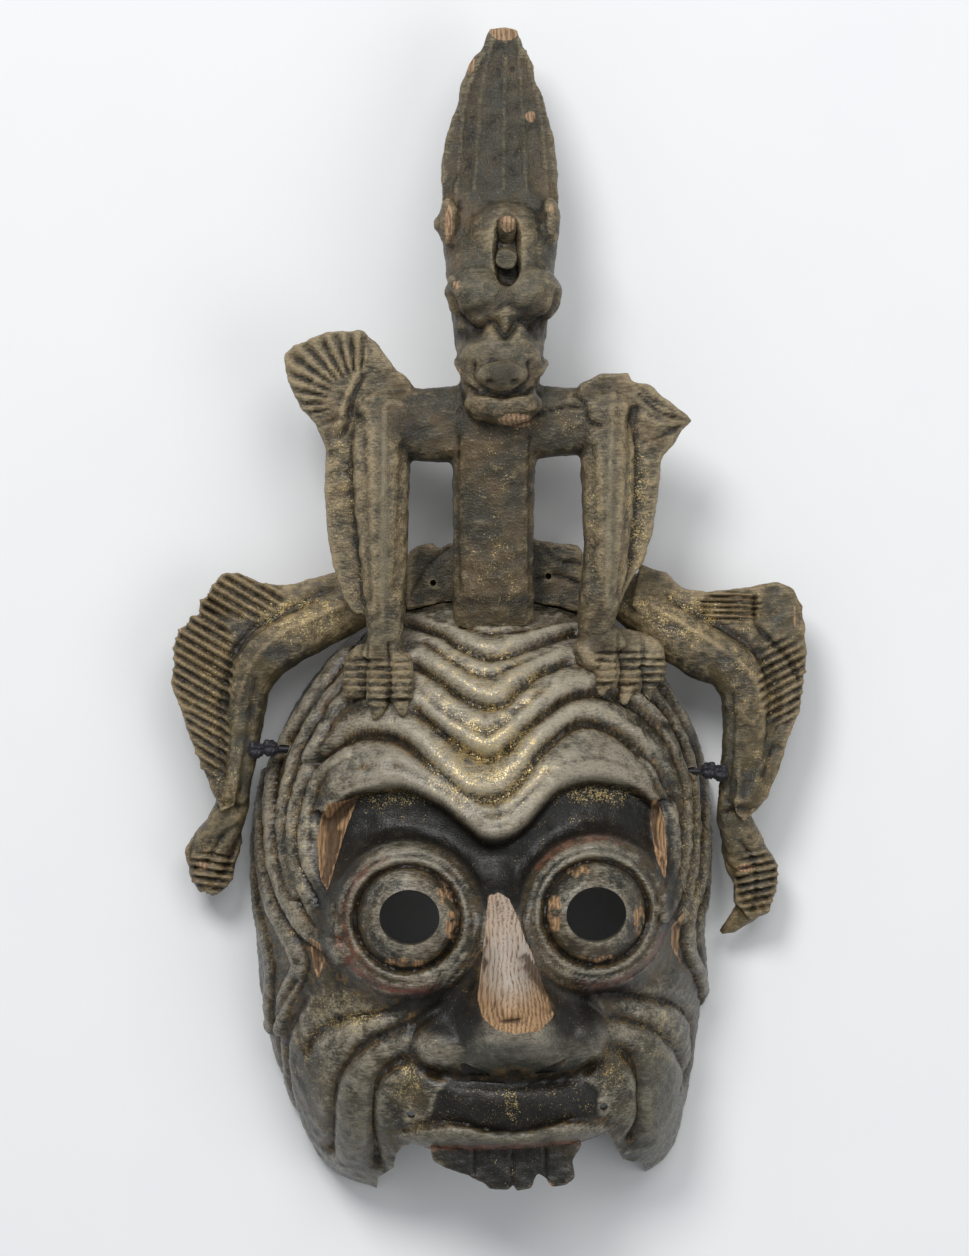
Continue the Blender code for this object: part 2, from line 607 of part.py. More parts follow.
# Forelegs: thickness is worked out over the mask, so the wrists clear its forehead
FORELEGS = (
    ((-45, 190, 44, 9.5, 9), (-45, 173, 47, 11, 10.5), (-44.8, 153, 50, 10.3, 11), (-44, 131, 51, 9, 10.5),
     (-43.5, 112, 52, 7.6, 9), (-43.5, 101, 51, 6.6, 7.5), (-45, 92, 49, 8, 5.5)),
    ((41, 190, 44, 9.5, 9), (41, 173, 47, 10.6, 10.5), (40.8, 152, 50, 9.9, 11), (40, 130, 51, 8.5, 10.5),
     (37.5, 114, 50, 8, 9), (36.5, 104, 46, 7, 7.5), (40, 95, 42, 9, 5.5)),
)
FINS = (
    ((-32.5, 190), (-34, 197), (-40, 202.5), (-47.5, 212.5), (-52.5, 216.5), (-64.5, 216), (-76, 211.5),
     (-82, 207.5), (-80, 196), (-75, 186.5), (-69.5, 181), (-66, 171.5), (-66.5, 156.5), (-65.5, 141),
     (-63, 126), (-59, 114.5), (-54.5, 108.5), (-48, 110), (-46, 140), (-44, 180)),
    ((29.5, 190), (30.5, 196), (38.5, 200), (48.5, 200.5), (50, 197), (56.5, 196), (63, 190), (68, 186.5),
     (72.5, 182.5), (68, 177), (63, 170.5), (61, 168), (60, 155.5), (57.5, 139.5), (55.5, 132.5), (53, 127),
     (48.5, 120), (45.5, 113), (40, 112), (42, 140), (40, 180)),
)
FIN_HEIGHT = 48.0
# Paws: palms across and fingers down, as plan points with a radius, laid over the forehead
PAW_THICKNESS = 5.5
PAW_FLOOR = 37.0
PALMS = (
    ((-57, 89.5, 3), (-53, 90, 7), (-46, 90.5, 8.5), (-39, 90, 7), (-35.5, 89.5, 3)),
    ((29.5, 93, 3), (33, 94, 7), (41, 95, 8.5), (50, 95, 8), (58, 93.5, 6.5), (62, 92.5, 3)),
)
FINGERS = (
    ((-54, 92, 5), (-55, 84, 5), (-55, 77.5, 4.2)),
    ((-46, 92, 5), (-46, 84, 5), (-46, 76, 4.4)),
    ((-38, 92, 5), (-37.5, 84, 5), (-37, 76.5, 4.2)),
    ((-46, 78, 3.4), (-46.5, 73, 2.8), (-47.5, 69, 1.2)),
    ((-37.5, 79, 3.4), (-37, 74, 2.6), (-36.5, 70.5, 1.2)),
    ((40.5, 95, 5), (40.5, 88, 5), (40, 82, 4.2)),
    ((49.5, 95, 5.2), (49.5, 88, 5.2), (49.2, 81, 4.6)),
    ((58, 94, 4.6), (58.5, 88, 4.8), (58, 83, 4)),
    ((39.5, 84, 3.2), (38.5, 80, 2.2), (38, 78, 1.2)),
    ((48.5, 83, 3.4), (47.5, 78, 2.6), (47, 74.5, 1.2)),
    ((57, 84, 3.2), (56, 79, 2.4), (55, 74.5, 1.2)),
)
# The plate behind the chest, which sits on the mask's crown
BACK_PLATE = (
    (-36, 110.5), (-36, 120), (-35, 132.5), (-32, 135), (-25.5, 136), (-24.5, 134), (-19, 136), (13.5, 138),
    (15.5, 137), (18.5, 136.5), (29, 135.5), (31.5, 132.5), (32.5, 120), (32, 109.5), (20, 112.5), (5, 114.5),
    (-10, 115), (-25, 113),
)
BACK_PLATE_HEIGHT = (8.0, 28.0)
NAIL_HOLES = ((-25.5, 121), (18.5, 123.5))

# The hind legs: limb, foot, the fin's outline and its ribs
HIND_LIMBS = (
    ((-38, 120, 20, 7.5, 7), (-47, 117, 21, 8.5, 8), (-56.5, 111.5, 24, 9, 9), (-68, 106, 26, 9.5, 9.5),
     (-80, 100, 28, 10, 10), (-89, 94, 29, 10, 10), (-95, 85, 29, 9, 9.5), (-97.5, 72, 27, 7.8, 9),
     (-99, 58, 26, 6.8, 8.5), (-101, 45, 25, 6, 8), (-103, 34, 23, 6.5, 7.5), (-109, 22, 19, 7.5, 6.5),
     (-112.5, 12, 16, 7, 5.5), (-111.5, 4, 14, 4.5, 4)),
    ((34, 121, 20, 7.5, 7), (44, 118.5, 21, 8.5, 8), (54, 112, 24, 10, 9), (66, 103, 26, 11, 9.5),
     (78, 95, 28, 11, 10), (88, 89, 29, 10, 10), (93, 79, 29, 9, 9.5), (93.5, 66, 27, 8.5, 9),
     (92, 52, 26, 7.5, 8.5), (90, 40, 25, 6.5, 8), (89.5, 31, 23, 6.5, 7.5), (94, 19, 19, 8, 6.5),
     (98.5, 8, 16, 8, 5.5), (98, 0, 14, 6, 4.5), (91, -9, 12, 3.5, 3.5), (85, -13.5, 11, 1.2, 1.5)),
)
HIND_FINS = (
    ((-52, 108), (-54.5, 118), (-61.5, 125.5), (-70.5, 123), (-81.5, 120), (-90.5, 120.5), (-100, 125),
     (-106, 124.5), (-110, 120), (-111.5, 116), (-114.5, 114), (-114.5, 108.5), (-118.5, 108), (-119, 105),
     (-122.5, 103), (-124.5, 97.5), (-124.5, 88.5), (-125.5, 82.5), (-122, 73), (-119.5, 65), (-116, 56.5),
     (-112, 47), (-109, 39), (-106, 34), (-101, 36), (-98, 60), (-94, 84), (-82, 98), (-66, 106)),
    ((50, 112), (53.5, 128), (63, 125), (70, 118.5), (79, 117.5), (87, 118.5), (93, 119), (101, 120.5),
     (106, 121.5), (112, 118.5), (115.5, 112), (116.5, 100.5), (117, 93.5), (116, 83.5), (114, 71.5),
     (110, 61.5), (106, 48.5), (102, 39.5), (98, 34.5), (93, 30), (89, 34), (92, 60), (91, 80), (78, 92),
     (62, 104)),
)
HIND_FEET = (
    ((-109, 34), (-116, 26), (-121, 18.5), (-119.5, 13), (-116, 7), (-110.5, 1), (-106, 3), (-102.5, 8),
     (-102, 13), (-99, 22), (-100, 32)),
    ((96, 32), (98, 26), (101.5, 20.5), (106.5, 13), (106.5, 7.5), (104.5, 0), (103, -5.5), (96, -8),
     (90, -1.5), (90, 5), (87, 11.5), (85, 19), (86, 28)),
)
HIND_FIN_HEIGHT = 24.0
HIND_FIN_SLOPE = 8.0
HIND_FOOT_HEIGHT = 15.0
HIND_FOOT_THICKNESS = 9.0

# Ties: where each cord leaves the mask, which way, and the knots that show between mask and shank
TIES = (
    ((-80, 57.5), -1, ((-93, 57.3, 34), (-87.5, 58, 35))),
    ((76, 49), 1, ((79.5, 49.5, 35), (84, 48.5, 34))),
)
KNOT_RADIUS = 3.4
TIE_HEIGHT = 27.0
TIE_REACH = 19.0
# The wall is slanted where the cord goes through, so the way through is this much longer
TIE_SLANT = 1.9


def crest_relief(points):
    """Upright flutes on the dragon's crest, above its brows."""
    rise = np.zeros(len(points))
    for line in CREST_FLUTES:
        away = distance(points[:, :2], np.array(line, float))
        rise = np.maximum(rise, np.exp(-(away / FLUTE_HALF_WIDTH) ** 2))
    return np.where(points[:, 1] > CREST_FLUTES[0][-1][1], FLUTE_HEIGHT * (rise - 0.4), 0.0)


def paw_height(x, y, radius):
    """Where the middle of a paw's form lies, so that it rests on the forehead."""
    return max(mask_top(x, y) + 0.9 * radius, PAW_FLOOR)


def build_dragon(mesh):
    """Adds the chest, head, crest, forelegs, paws and back plate."""
    add_loft(mesh, CHEST, fullness=4)
    add_loft(mesh, HEAD, fullness=2.8)
    for centre, radii in HEAD_LUMPS:
        add_ball(mesh, centre, radii)
    for path in HEAD_LIMBS:
        add_loft(mesh, path, sides=12)
    add_plate(mesh, CREST, lambda x, y: 40 - 0.1 * (y - 250), CREST_THICKNESS)
    for path in ARMS + FORELEGS:
        add_loft(mesh, path, fullness=3)
    for outline in FINS:
        add_plate(mesh, outline, lambda x, y: FIN_HEIGHT - 0.15 * max(0, abs(x) - 45), FIN_THICKNESS)
    for palm in PALMS:
        add_loft(mesh, [(x, y, paw_height(x, y, PAW_THICKNESS), radius, min(radius, PAW_THICKNESS))
                        for x, y, radius in palm], sides=16)
    for finger in FINGERS:
        add_loft(mesh, [(x, y, paw_height(x, y, radius), radius, radius) for x, y, radius in finger], sides=12)
    low, high = BACK_PLATE_HEIGHT
    add_plate(mesh, BACK_PLATE, lambda x, y: (low + high) / 2, (high - low) * STEP)


def hind_leg_builder(side):
    def build(mesh):
        add_loft(mesh, HIND_LIMBS[side], fullness=2.6)
        limb = np.array(HIND_LIMBS[side], float)[:, :2]
        add_plate(mesh, HIND_FINS[side], lambda x, y: HIND_FIN_HEIGHT + HIND_FIN_SLOPE
                  * math.exp(-distance(np.array([[x, y]], float), limb)[0] / 12), FIN_THICKNESS)
        add_plate(mesh, HIND_FEET[side], lambda x, y: HIND_FOOT_HEIGHT, HIND_FOOT_THICKNESS * STEP)
    return build


def tie_path(side):
    """Start and end of the straight cord from the hollow of the mask into the shank."""
    (x, y), way, _ = TIES[side]
    height = TIE_HEIGHT * STEP
    start = np.array((x * STEP - way * WALL * TIE_SLANT, y * STEP, height))
    end = np.array(((x + way * TIE_REACH) * STEP, y * STEP, height))
    return start, end


def tie_builder(side):
    (x, y), way, knots = TIES[side]

    def build(mesh):
        start, end = tie_path(side)
        radius = TIE_CORD / 2 / STEP
        first, last = start / STEP, end / STEP
        add_loft(mesh, (tuple(first) + (radius, radius), tuple((first + last) / 2) + (radius, radius),
                        tuple(last) + (radius, radius)), fullness=2, spans=3, sides=12)
        add_ball(mesh, first, (2.6, 2.6, 2.6))
        for knot in knots:
            add_ball(mesh, knot, (KNOT_RADIUS,) * 3)
            rise = (knot[2] - TIE_HEIGHT) / 2
            add_ball(mesh, (knot[0], knot[1], TIE_HEIGHT + rise), (1.8, 1.8, rise + 1))
    return build


def finish(pieces):
    """Moves everything so the box's base is centred on the origin, and paints it."""
    corners = np.concatenate([[vertex.co[:] for vertex in piece.data.vertices] for piece in pieces])
    middle = (corners.min(axis=0) + corners.max(axis=0)) / 2
    for piece in pieces:
        for vertex in piece.data.vertices:
            vertex.co.x = (vertex.co.x - middle[0]) * METRES
            vertex.co.y = (vertex.co.y - middle[1]) * METRES
            vertex.co.z = vertex.co.z * METRES
        paint(piece)


COLOURS = {
    "mask": (0.105, 0.085, 0.060),
    "dragon": (0.120, 0.100, 0.072),
    "hind_leg": (0.115, 0.095, 0.068),
    "cord_tie": (0.030, 0.022, 0.030),
}


def paint(piece):
    kind = next(kind for kind in COLOURS if piece.name.startswith(kind))
    material = bpy.data.materials.new(piece.name)
    material.use_nodes = True
    shader = material.node_tree.nodes["Principled BSDF"]
    shader.inputs["Base Color"].default_value = COLOURS[kind] + (1.0,)
    shader.inputs["Roughness"].default_value = 0.9 if kind == "cord_tie" else 0.45
    piece.data.materials.clear()
    piece.data.materials.append(material)


def main():
    for piece in list(bpy.data.objects):
        bpy.data.objects.remove(piece, do_unlink=True)
    mask = carve_mask(MASK_CELLS, MASK_FACETS)
    for side in range(2):
        start, end = tie_path(side)
        combine(mask, rod("tie_bore", start, end, (TIE_BORE / 2,) * 2, 12), "DIFFERENCE")
    dragon = fuse("dragon", build_dragon, VOXEL, crest_relief)
    thin_out(dragon, DRAGON_FACETS)
    combine(dragon, grown(mask, GAP), "DIFFERENCE")
    for x, y in NAIL_HOLES:
        top = BACK_PLATE_HEIGHT[1] * STEP
        combine(dragon, rod("nail_bore", (x * STEP, y * STEP, top - NAIL_DEPTH), (x * STEP, y * STEP, top + 20),
                            (NAIL_BORE / 2,) * 2, 12), "DIFFERENCE")
    pieces = [mask, dragon]
    for side, word in enumerate(("left", "right")):
        leg = fuse("hind_leg_" + word, hind_leg_builder(side), VOXEL)
        thin_out(leg, LEG_FACETS)
        combine(leg, grown(mask, GAP), "DIFFERENCE")
        combine(leg, grown(dragon, GAP), "DIFFERENCE")
        start, end = tie_path(side)
        combine(leg, rod("tie_socket", start, end, (TIE_BORE / 2,) * 2, 12), "DIFFERENCE")
        tie = fuse("cord_tie_" + word, tie_builder(side), 0.5)
        thin_out(tie, TIE_FACETS)
        combine(tie, grown(mask, GAP), "DIFFERENCE")
        combine(tie, grown(leg, GAP), "DIFFERENCE")
        pieces += [leg, tie]
    finish(pieces)


main()
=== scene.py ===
"""Looks of a bugaku dance mask: carved wood under worn dark lacquer and gold, a dragon on its crown.

The forms are drawn on the carver's grid, in millimetres at the mask's real size,
with +Z out of the face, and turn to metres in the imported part's own frame.
"""

import math

import bmesh
import bpy
import numpy as np
from mathutils import Matrix, Vector


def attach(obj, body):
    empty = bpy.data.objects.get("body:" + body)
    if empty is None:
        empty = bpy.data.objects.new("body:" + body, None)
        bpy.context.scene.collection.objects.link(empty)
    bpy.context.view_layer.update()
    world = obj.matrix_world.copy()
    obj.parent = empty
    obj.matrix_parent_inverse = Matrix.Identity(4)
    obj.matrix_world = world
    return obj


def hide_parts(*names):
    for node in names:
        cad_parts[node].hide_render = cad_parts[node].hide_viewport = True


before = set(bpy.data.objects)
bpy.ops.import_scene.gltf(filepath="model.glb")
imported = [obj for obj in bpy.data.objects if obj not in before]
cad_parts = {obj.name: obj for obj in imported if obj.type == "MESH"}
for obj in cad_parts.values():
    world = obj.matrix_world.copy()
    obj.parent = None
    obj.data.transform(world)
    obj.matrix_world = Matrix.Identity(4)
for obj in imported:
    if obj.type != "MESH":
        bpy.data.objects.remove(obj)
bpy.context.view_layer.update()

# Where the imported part's origin lies on the carver's grid, the grid's unit in metres, and the length
# of a wave texture's turn in its own units
ROW_ORIGIN = np.array((-4.188, 110.267, 0.0))
MM = 0.001
WAVE_TURN = 0.314

# The photograph's view: straight down from 2.5 m, a little below the part's middle
CAMERA_SPOT = (-0.00172, -0.0065, 2.5)
CAMERA_LENS = 123.72
SENSOR_HEIGHT = 24.0

# Soft studio lights: place, width in metres, power in watts
LIGHT_AIM = (0, 0, 0.03)
LIGHTS = (
    ("window", (-0.8, 1.6, 2.3), 1.1, 43),
    ("overhead", (0.5, 1.3, 2.4), 1.4, 17),
    ("fill", (1.6, -0.5, 1.9), 1.6, 10),
)
SKY_STRENGTH = 0.4
FLOOR_HALF_WIDTH = 4.0
FLOOR_DROP = 0.0004

# How finely the surfaces are cut
MASK_CELLS = 264
BLOCK_CELLS = 140
DRAGON_VOXEL = 0.95
LEG_VOXEL = 0.7
TEETH_VOXEL = 0.6
PEG_VOXEL = 0.5
TIE_VOXEL = 0.3
MASK_CELL = 1.0

SIDES = ("left", "right")

# Unevenness left by the knife: height, size of its features, seed
WAVE_COUNT = 20
MASK_WAVES = ((0.14, 11, 1), (0.07, 4.5, 2))
LIMB_WAVES = ((0.16, 9, 5), (0.08, 3.6, 6))

WALL = 8.5
EYE_BORE_WIDTH = 22.6
EYE_BORE_HEIGHT = 20.8
JAW_CORD_BORE = 3.0
NOSTRIL_WIDTH = 12.0
NOSTRIL_HEIGHT = 3.4
NOSTRIL_DEPTH = 6.0
NOSTRIL_LIP = 1.6
NOSTRIL_WAY = np.array((0, 0.9, 0.44))
TEETH_THICKNESS = 4.0
FIN_THICKNESS = 7.0
CREST_THICKNESS = 12.0
CREST_ROOT = 250
CREST_HEIGHT = 40
CREST_SLOPE = 0.1
TIE_BORE = 3.6
NAIL_BORE = 2.4
NAIL_DEPTH = 5.0
CUT_LOW = 5.0
CUT_HIGH = 150.0

# The dome
DOME_HEIGHT = 72.0
PLAN_FULLNESS = 2.6
HEIGHT_FULLNESS = 2.2
SPREAD_RADIUS = 95.0
HOLLOW_REACH = 6
RIM = (
    (79.5, -1), (79, 33), (71.5, 66), (57, 90), (33, 112), (-2, 120), (-38.5, 113.5), (-64, 94),
    (-82.5, 67), (-92.5, 33.5), (-94, -3), (-91.5, -39.5), (-82.5, -73.5), (-67.5, -102),
    (-53, -110), (-27, -117), (11.5, -118.5), (46, -110), (64.5, -99), (71.5, -78), (76.5, -47),
)

# Furrows cut into the dome: half width, share of FURROW_DEPTH, points in plan
FURROW_DEPTH = 3.8
FURROW_SHAPE = 1.2
HUMP_SHAPE = 1.3
FOLD_EDGE = 1.5
FOLD_SWELL = 1.5
FOLD_REACH = 4.0
FOREHEAD = 25.0
FURROWS = (
    (1.2, 0.25, ((-28, 108), (-16, 104.5), (-4, 102), (8, 102.5), (24, 106))),
    (2.6, 0.8, ((-35.5, 106), (-23.5, 102.5), (-16, 97.5), (-5, 93), (5, 94.5), (16, 98.5),
                (28.5, 102.5))),
    (1.6, 0.3, ((-28.5, 98.5), (-16, 90), (-5, 86), (6, 90), (21, 96))),
    (2.6, 0.9, ((-32, 90), (-23.5, 85), (-16, 79), (-7.5, 75), (1, 75), (7.5, 81), (16, 87.5),
                (25.5, 91.5))),
    (1.6, 0.35, ((-28.5, 78), (-16, 69), (-5, 64.5), (2, 69), (15.5, 80))),
    (2.6, 0.95, ((-31.5, 73), (-22.5, 65.5), (-13.5, 58.5), (-6, 55), (1, 57), (8.5, 64.5),
                 (15.5, 70.5), (26.5, 78), (37.5, 79.5), (50, 75.5), (59, 68))),
    (2.8, 1.0, ((-70.5, 53), (-59, 61.5), (-49, 64), (-38, 61.5), (-29.5, 54.5), (-20.5, 47),
                (-12.5, 41), (-5, 39), (2, 41), (9.5, 48.5), (15.5, 57), (24.5, 65.5), (33, 68.5),
                (43, 65.5), (51.5, 59), (59, 52.5), (65, 40.5))),
    (1.6, 0.5, ((-40.5, 52), (-26.5, 46.5), (-16, 39.5), (-5, 33.5), (3.5, 35), (12, 42.5),
                (18, 49.5))),
    (1.1, 0.25, ((-34, 48.5), (-22, 43), (-12, 34.5), (-5, 29.5), (3, 31), (11, 38.5), (20, 48))),
    (1.2, 0.2, ((-55, 51), (-44, 52.5), (-34, 51))),
    (1.2, 0.2, ((24, 53), (36, 55), (48, 51.5))),
    (2.4, 0.9, ((-32.5, -45), (-44.5, -49.5), (-55.5, -57), (-61.5, -64.5), (-64, -72),
                (-65, -83.5), (-65.5, -96))),
    (2.2, 0.7, ((-35.5, -39), (-48, -42), (-58.5, -43.5), (-67, -47.5), (-72, -52),
                (-73.5, -56.5))),
    (2.8, 1.0, ((-36, -59), (-42, -61.5), (-47, -67), (-49, -74), (-49, -82.5), (-48, -91.5),
                (-47.5, -100.5))),
    (1.8, 0.6, ((-76.5, -29.5), (-82, -39), (-85.5, -46.5), (-85, -57.5), (-84, -72.5))),
    (1.8, 0.6, ((-73.5, -36), (-79.5, -46), (-82, -56), (-81.5, -68), (-79, -80), (-76.5, -89.5))),
    (2.4, 0.9, ((36.5, -34), (44.5, -34), (52.5, -35.5), (61.5, -37.5), (68.5, -39.5), (73, -44),
                (74.5, -50), (74.5, -58.5), (72, -69.5))),
    (2.2, 0.8, ((43, -43), (49.5, -44.5), (56.5, -47), (64, -52), (69, -58.5), (71.5, -66),
                (70.5, -71.5))),
    (2.8, 1.0, ((43, -54), (48, -57), (52, -62.5), (54, -68), (54, -74.5), (53.5, -83), (50, -91))),
)

# Rolls of skin that stand up down both sides: height, half width, points along the crest
ROLLS = (
    (1.6, 3.0, ((-58.5, 57), (-67.5, 50.5), (-72.5, 37.5), (-74.5, 25), (-73, 14.5), (-67, 4),
                (-62.5, -10.5))),
    (2.0, 3.2, ((-56, 80), (-63.5, 72), (-71, 57), (-77, 39.5), (-79, 26.5), (-77.5, 12), (-72, 0),
                (-65.5, -10.5))),
    (2.3, 3.4, ((-56, 87), (-67.5, 74.5), (-77.5, 56), (-82, 39.5), (-83, 28.5), (-81, 14.5),
                (-77, 3.5))),
    (3.4, 4.2, ((-59, 93.5), (-70.5, 78), (-83.5, 56.5), (-87, 42.5), (-87, 28.5), (-85, 12),
                (-79.5, -0.5), (-73.5, -9.5), (-64, -15.5), (-60.5, -19.5))),
    (2.8, 4.2, ((-90.5, 47.5), (-91.5, 31.5), (-90.5, 14), (-87, -1), (-82, -11), (-77, -19.5),
                (-76, -25.5), (-81.5, -36.5), (-84.5, -48.5))),
    (2.4, 4.2, ((-94, 34.5), (-94, 16.5), (-93, -1.5), (-89.5, -15.5), (-87.5, -26.5), (-88, -37.5),
                (-88, -49))),
    (1.6, 3.0, ((51, 63.5), (57.5, 52.5), (64, 41), (66, 29), (66.5, 18), (64, 6), (60.5, -2))),
    (2.0, 3.2, ((52, 76), (62, 66), (68.5, 52), (71, 40.5), (71.2, 28.5), (70.5, 17.5), (67.5, 5),
                (62, -5))),
    (2.4, 3.4, ((56, 81), (66, 68), (72.5, 52), (74, 36), (74, 22), (72.5, 8), (68.5, -6))),
    (3.2, 4.2, ((60, 84), (73.5, 60), (77, 46.5), (78, 31.5), (77.5, 17), (75, 4.5), (71.5, -4),
                (71.5, -18.5), (75, -26.5), (77.5, -36.5))),
    (2.2, 3.6, ((79, 40), (79.5, 20), (78.5, 2), (75.5, -10), (77, -22), (79, -40))),
)

# Lower edge of the brows, from left to right, and the overhang there
BROW = (
    (-65.5, 34.5), (-58.5, 40.5), (-50, 43.5), (-38, 45), (-28, 42), (-18.5, 36.5), (-10, 29),
    (-4, 24.5), (2, 25.5), (8.5, 30.5), (14.5, 37.5), (20.5, 43.5), (30.5, 47), (40, 47),
    (50, 44.5), (58, 39),
)
BROW_RISE = 3.5
BROW_SINK = 9.0
BROW_ROLL = (5, 7)
BROW_FADE = (12, 22)
BROW_SIDES = (-72, 64)
BROW_ENDS = (10, 8)

EYES = ((-35, -5), (36, -3))
EYE_HOLES = ((-34, -4.5), (36, -3.5))
# The eyes out from their middle: distance, rise
EYE_PROFILE = (
    (0, 11), (10, 10.9), (11.5, 10.8), (12.6, 10.4), (16, 8.6), (18.2, 6.4), (19.0, 4.6),
    (19.6, 4.6), (20.7, 6.2), (21.6, 7.5), (22.6, 7.8), (23.4, 7.2), (23.9, 6.7), (24.6, 7.2),
    (25.8, 6.9), (27, 5.6), (27.7, 4.7), (28.4, 4.9), (29.3, 3.9), (31, 1.6), (34, 0),
)

# The nose down its ridge: distance below the grid's middle, centre, height, half width
NOSE = (
    (-18, -1.5, 0, 6), (-8, -1, 5, 6.5), (5, 0, 11, 7), (16, 1.5, 16, 8.5), (27, 3, 21, 11),
    (38, 4.5, 27, 14), (45, 5.5, 29.5, 17), (50, 6, 27, 19), (56, 6, 19, 21), (62, 5, 8, 24),
    (68, 4, 0, 26),
)
NOSE_FULLNESS = 2.4
NOSE_WINGS = ((-21.5, -54, 11.5, 9), (32.5, -51, 11.5, 9))
WING_HEIGHT = 10.0
NOSTRILS = ((-9.5, -63), (18.5, -62))
NOSE_FOOT = (
    (-25, -62.5), (-18, -65), (-8, -66.3), (5, -66.8), (18, -66.3), (28, -64.6), (33.5, -61.5),
)
NOSE_FOOT_WIDTH = 2.8
NOSE_FOOT_DEPTH = 2.6
# Creases beside the nose and over the lip: depth, half width, points in plan
CREASES = (
    (2.4, 2.0, ((-22, -38), (-29, -43), (-32.5, -49), (-33, -55), (-30, -60.5), (-24, -63.5))),
    (2.4, 2.0, ((31, -36), (37, -41), (40, -47), (40.5, -53), (37.5, -58.5), (32, -62))),
    (1.2, 1.1, ((-33, -82.5), (-25, -82), (-16, -82), (-6, -84.5), (4.5, -87.3), (14, -84.5),
                (25, -81.5), (40, -81))),
)

# Soft rounded rises, muzzle and jowls: centre, half length and breadth, height
MUZZLE = (4, -80, 40, 19, 11)
LIP = (
    (-37, -88), (-27, -88.5), (-17, -88), (-7.5, -89.5), (4.5, -90), (17, -88.5), (28, -86.5),
    (37.5, -85.5), (44, -85),
)
LIP_HALF_WIDTH = 4.6
LIP_HEIGHT = 4.0
LIP_MIDDLE = 1
LIP_REACH = 41
JOWLS = ((-57, -78, 12, 24, 5), (63, -74, 11, 24, 5))

# The gap that the lost jaw left between the jowls, and the broken plate of teeth in it
JAW_GAP = (
    (-50, -130), (-46.5, -106), (-40.5, -101.5), (-39.5, -96), (-37, -92.5), (-33, -91),
    (-25.5, -93.5), (-11.5, -93), (4.5, -92.5), (22.5, -91), (30.5, -90.5), (41, -87),
    (44.5, -94.5), (47, -98.5), (55.5, -101), (59, -130),
)
TEETH = (
    (-26, -86), (-26, -94.5), (-25, -97.5), (-20, -100.5), (-12, -103), (-6.5, -105.5), (-4, -108),
    (3, -108.5), (5, -106), (6.5, -108.5), (11.5, -107.5), (14, -102), (17, -103.5), (19.5, -107),
    (25, -106.5), (28, -103.5), (27.5, -97.5), (30.5, -91.5), (30, -86),
)
TEETH_DROP = 9.5
TEETH_SEAT = (2, -90)
TOOTH_LINES = (((4.7, -90), (4.7, -107)), ((17.2, -90), (17, -103)), ((-10, -92), (-10, -102)))
JAW_CORD_HOLES = ((-33.5, -79.5), (39, -76.5))

# Places where the lacquer has broken away to bare wood
NOSE_BREAK = (
    (-4.6, 3.2), (-0.9, 4.7), (3.2, 2.5), (6.2, -3.9), (9.1, -12), (14.7, -25.4), (17.7, -34.7),
    (20.3, -41), (14.7, -46.2), (5.4, -46.9), (-2.4, -45.4), (-6.8, -41), (-8.5, -34.7),
    (-6.8, -19.1), (-5.4, -6.8),
)
NOSE_CUT = 1.8
NOSE_ARCH = (
    (-3.8, -40.5), (-0.8, -34.5), (2.8, -31.6), (6.4, -33.5), (10.5, -41), (3, -42), (-3.8, -40.5),
)
NOSE_LEDGE = 1.6
NOSE_LEDGE_TOP = -41
CHIPS = (
    ((-65.1, 37.1), (-54.1, 39.3), (-58.1, 29.1), (-61.9, 16.7), (-65.1, 5), (-67.5, 8.8),
     (-69, 22.9), (-67.5, 32.3)),
    ((57.4, 38.6), (59.5, 38.9), (62, 30.7), (63, 15.2), (62.1, 9.5), (59.4, 16.7), (57.2, 27.6)),
    ((-71.7, -13), (-67.9, -15.5), (-66.4, -21.8), (-68.7, -28.2), (-70.2, -25), (-70.9, -18.7)),
    ((69.7, -4.3), (67.6, -12.3), (67.4, -20.2), (69, -24), (65.2, -17.2), (64.8, -9.2)),
)
CHIP_DEPTH = 0.9
CHIP_SLOPE = 1.2
MOUSTACHE_DEPTH = 1.3
MOUSTACHE = (
    (-27, -82), (-23.5, -70), (-17, -65.5), (4.5, -66.5), (30, -64.5), (36.5, -69.5), (38, -80),
    (28, -81.5), (17, -84), (4.5, -87), (-7.5, -85.5), (-17, -83),
)


def smooth(value):
    """Eases from 0 to 1."""
    value = np.clip(value, 0.0, 1.0)
    return value * value * (3.0 - 2.0 * value)


def spline(points, spans, closed=False):
    """A smooth curve through the points."""
    points = np.array(points, float)
    count = len(points)
    curve = []
    for i in range(count if closed else count - 1):
        if closed:
            a, b, c, d = (points[(i + k) % count] for k in (-1, 0, 1, 2))
        else:
            a, b, c, d = (points[min(max(i + k, 0), count - 1)] for k in (-1, 0, 1, 2))
        for t in np.arange(spans) / spans:
            curve.append(0.5 * (2 * b + (c - a) * t + (2 * a - 5 * b + 4 * c - d) * t ** 2
                                + (3 * b - a - 3 * c + d) * t ** 3))
    if not closed:
        curve.append(points[-1])
    return np.array(curve)


def distance(points, line):
    """Distance from each point to a line of points."""
    nearest = np.full(len(points), 1e6)
    for start, end in zip(line[:-1], line[1:]):
        along = end - start
        share = np.clip(((points - start) @ along) / (along @ along), 0.0, 1.0)
        nearest = np.minimum(nearest, np.hypot(*(points - start - share[:, None] * along).T))
    return nearest


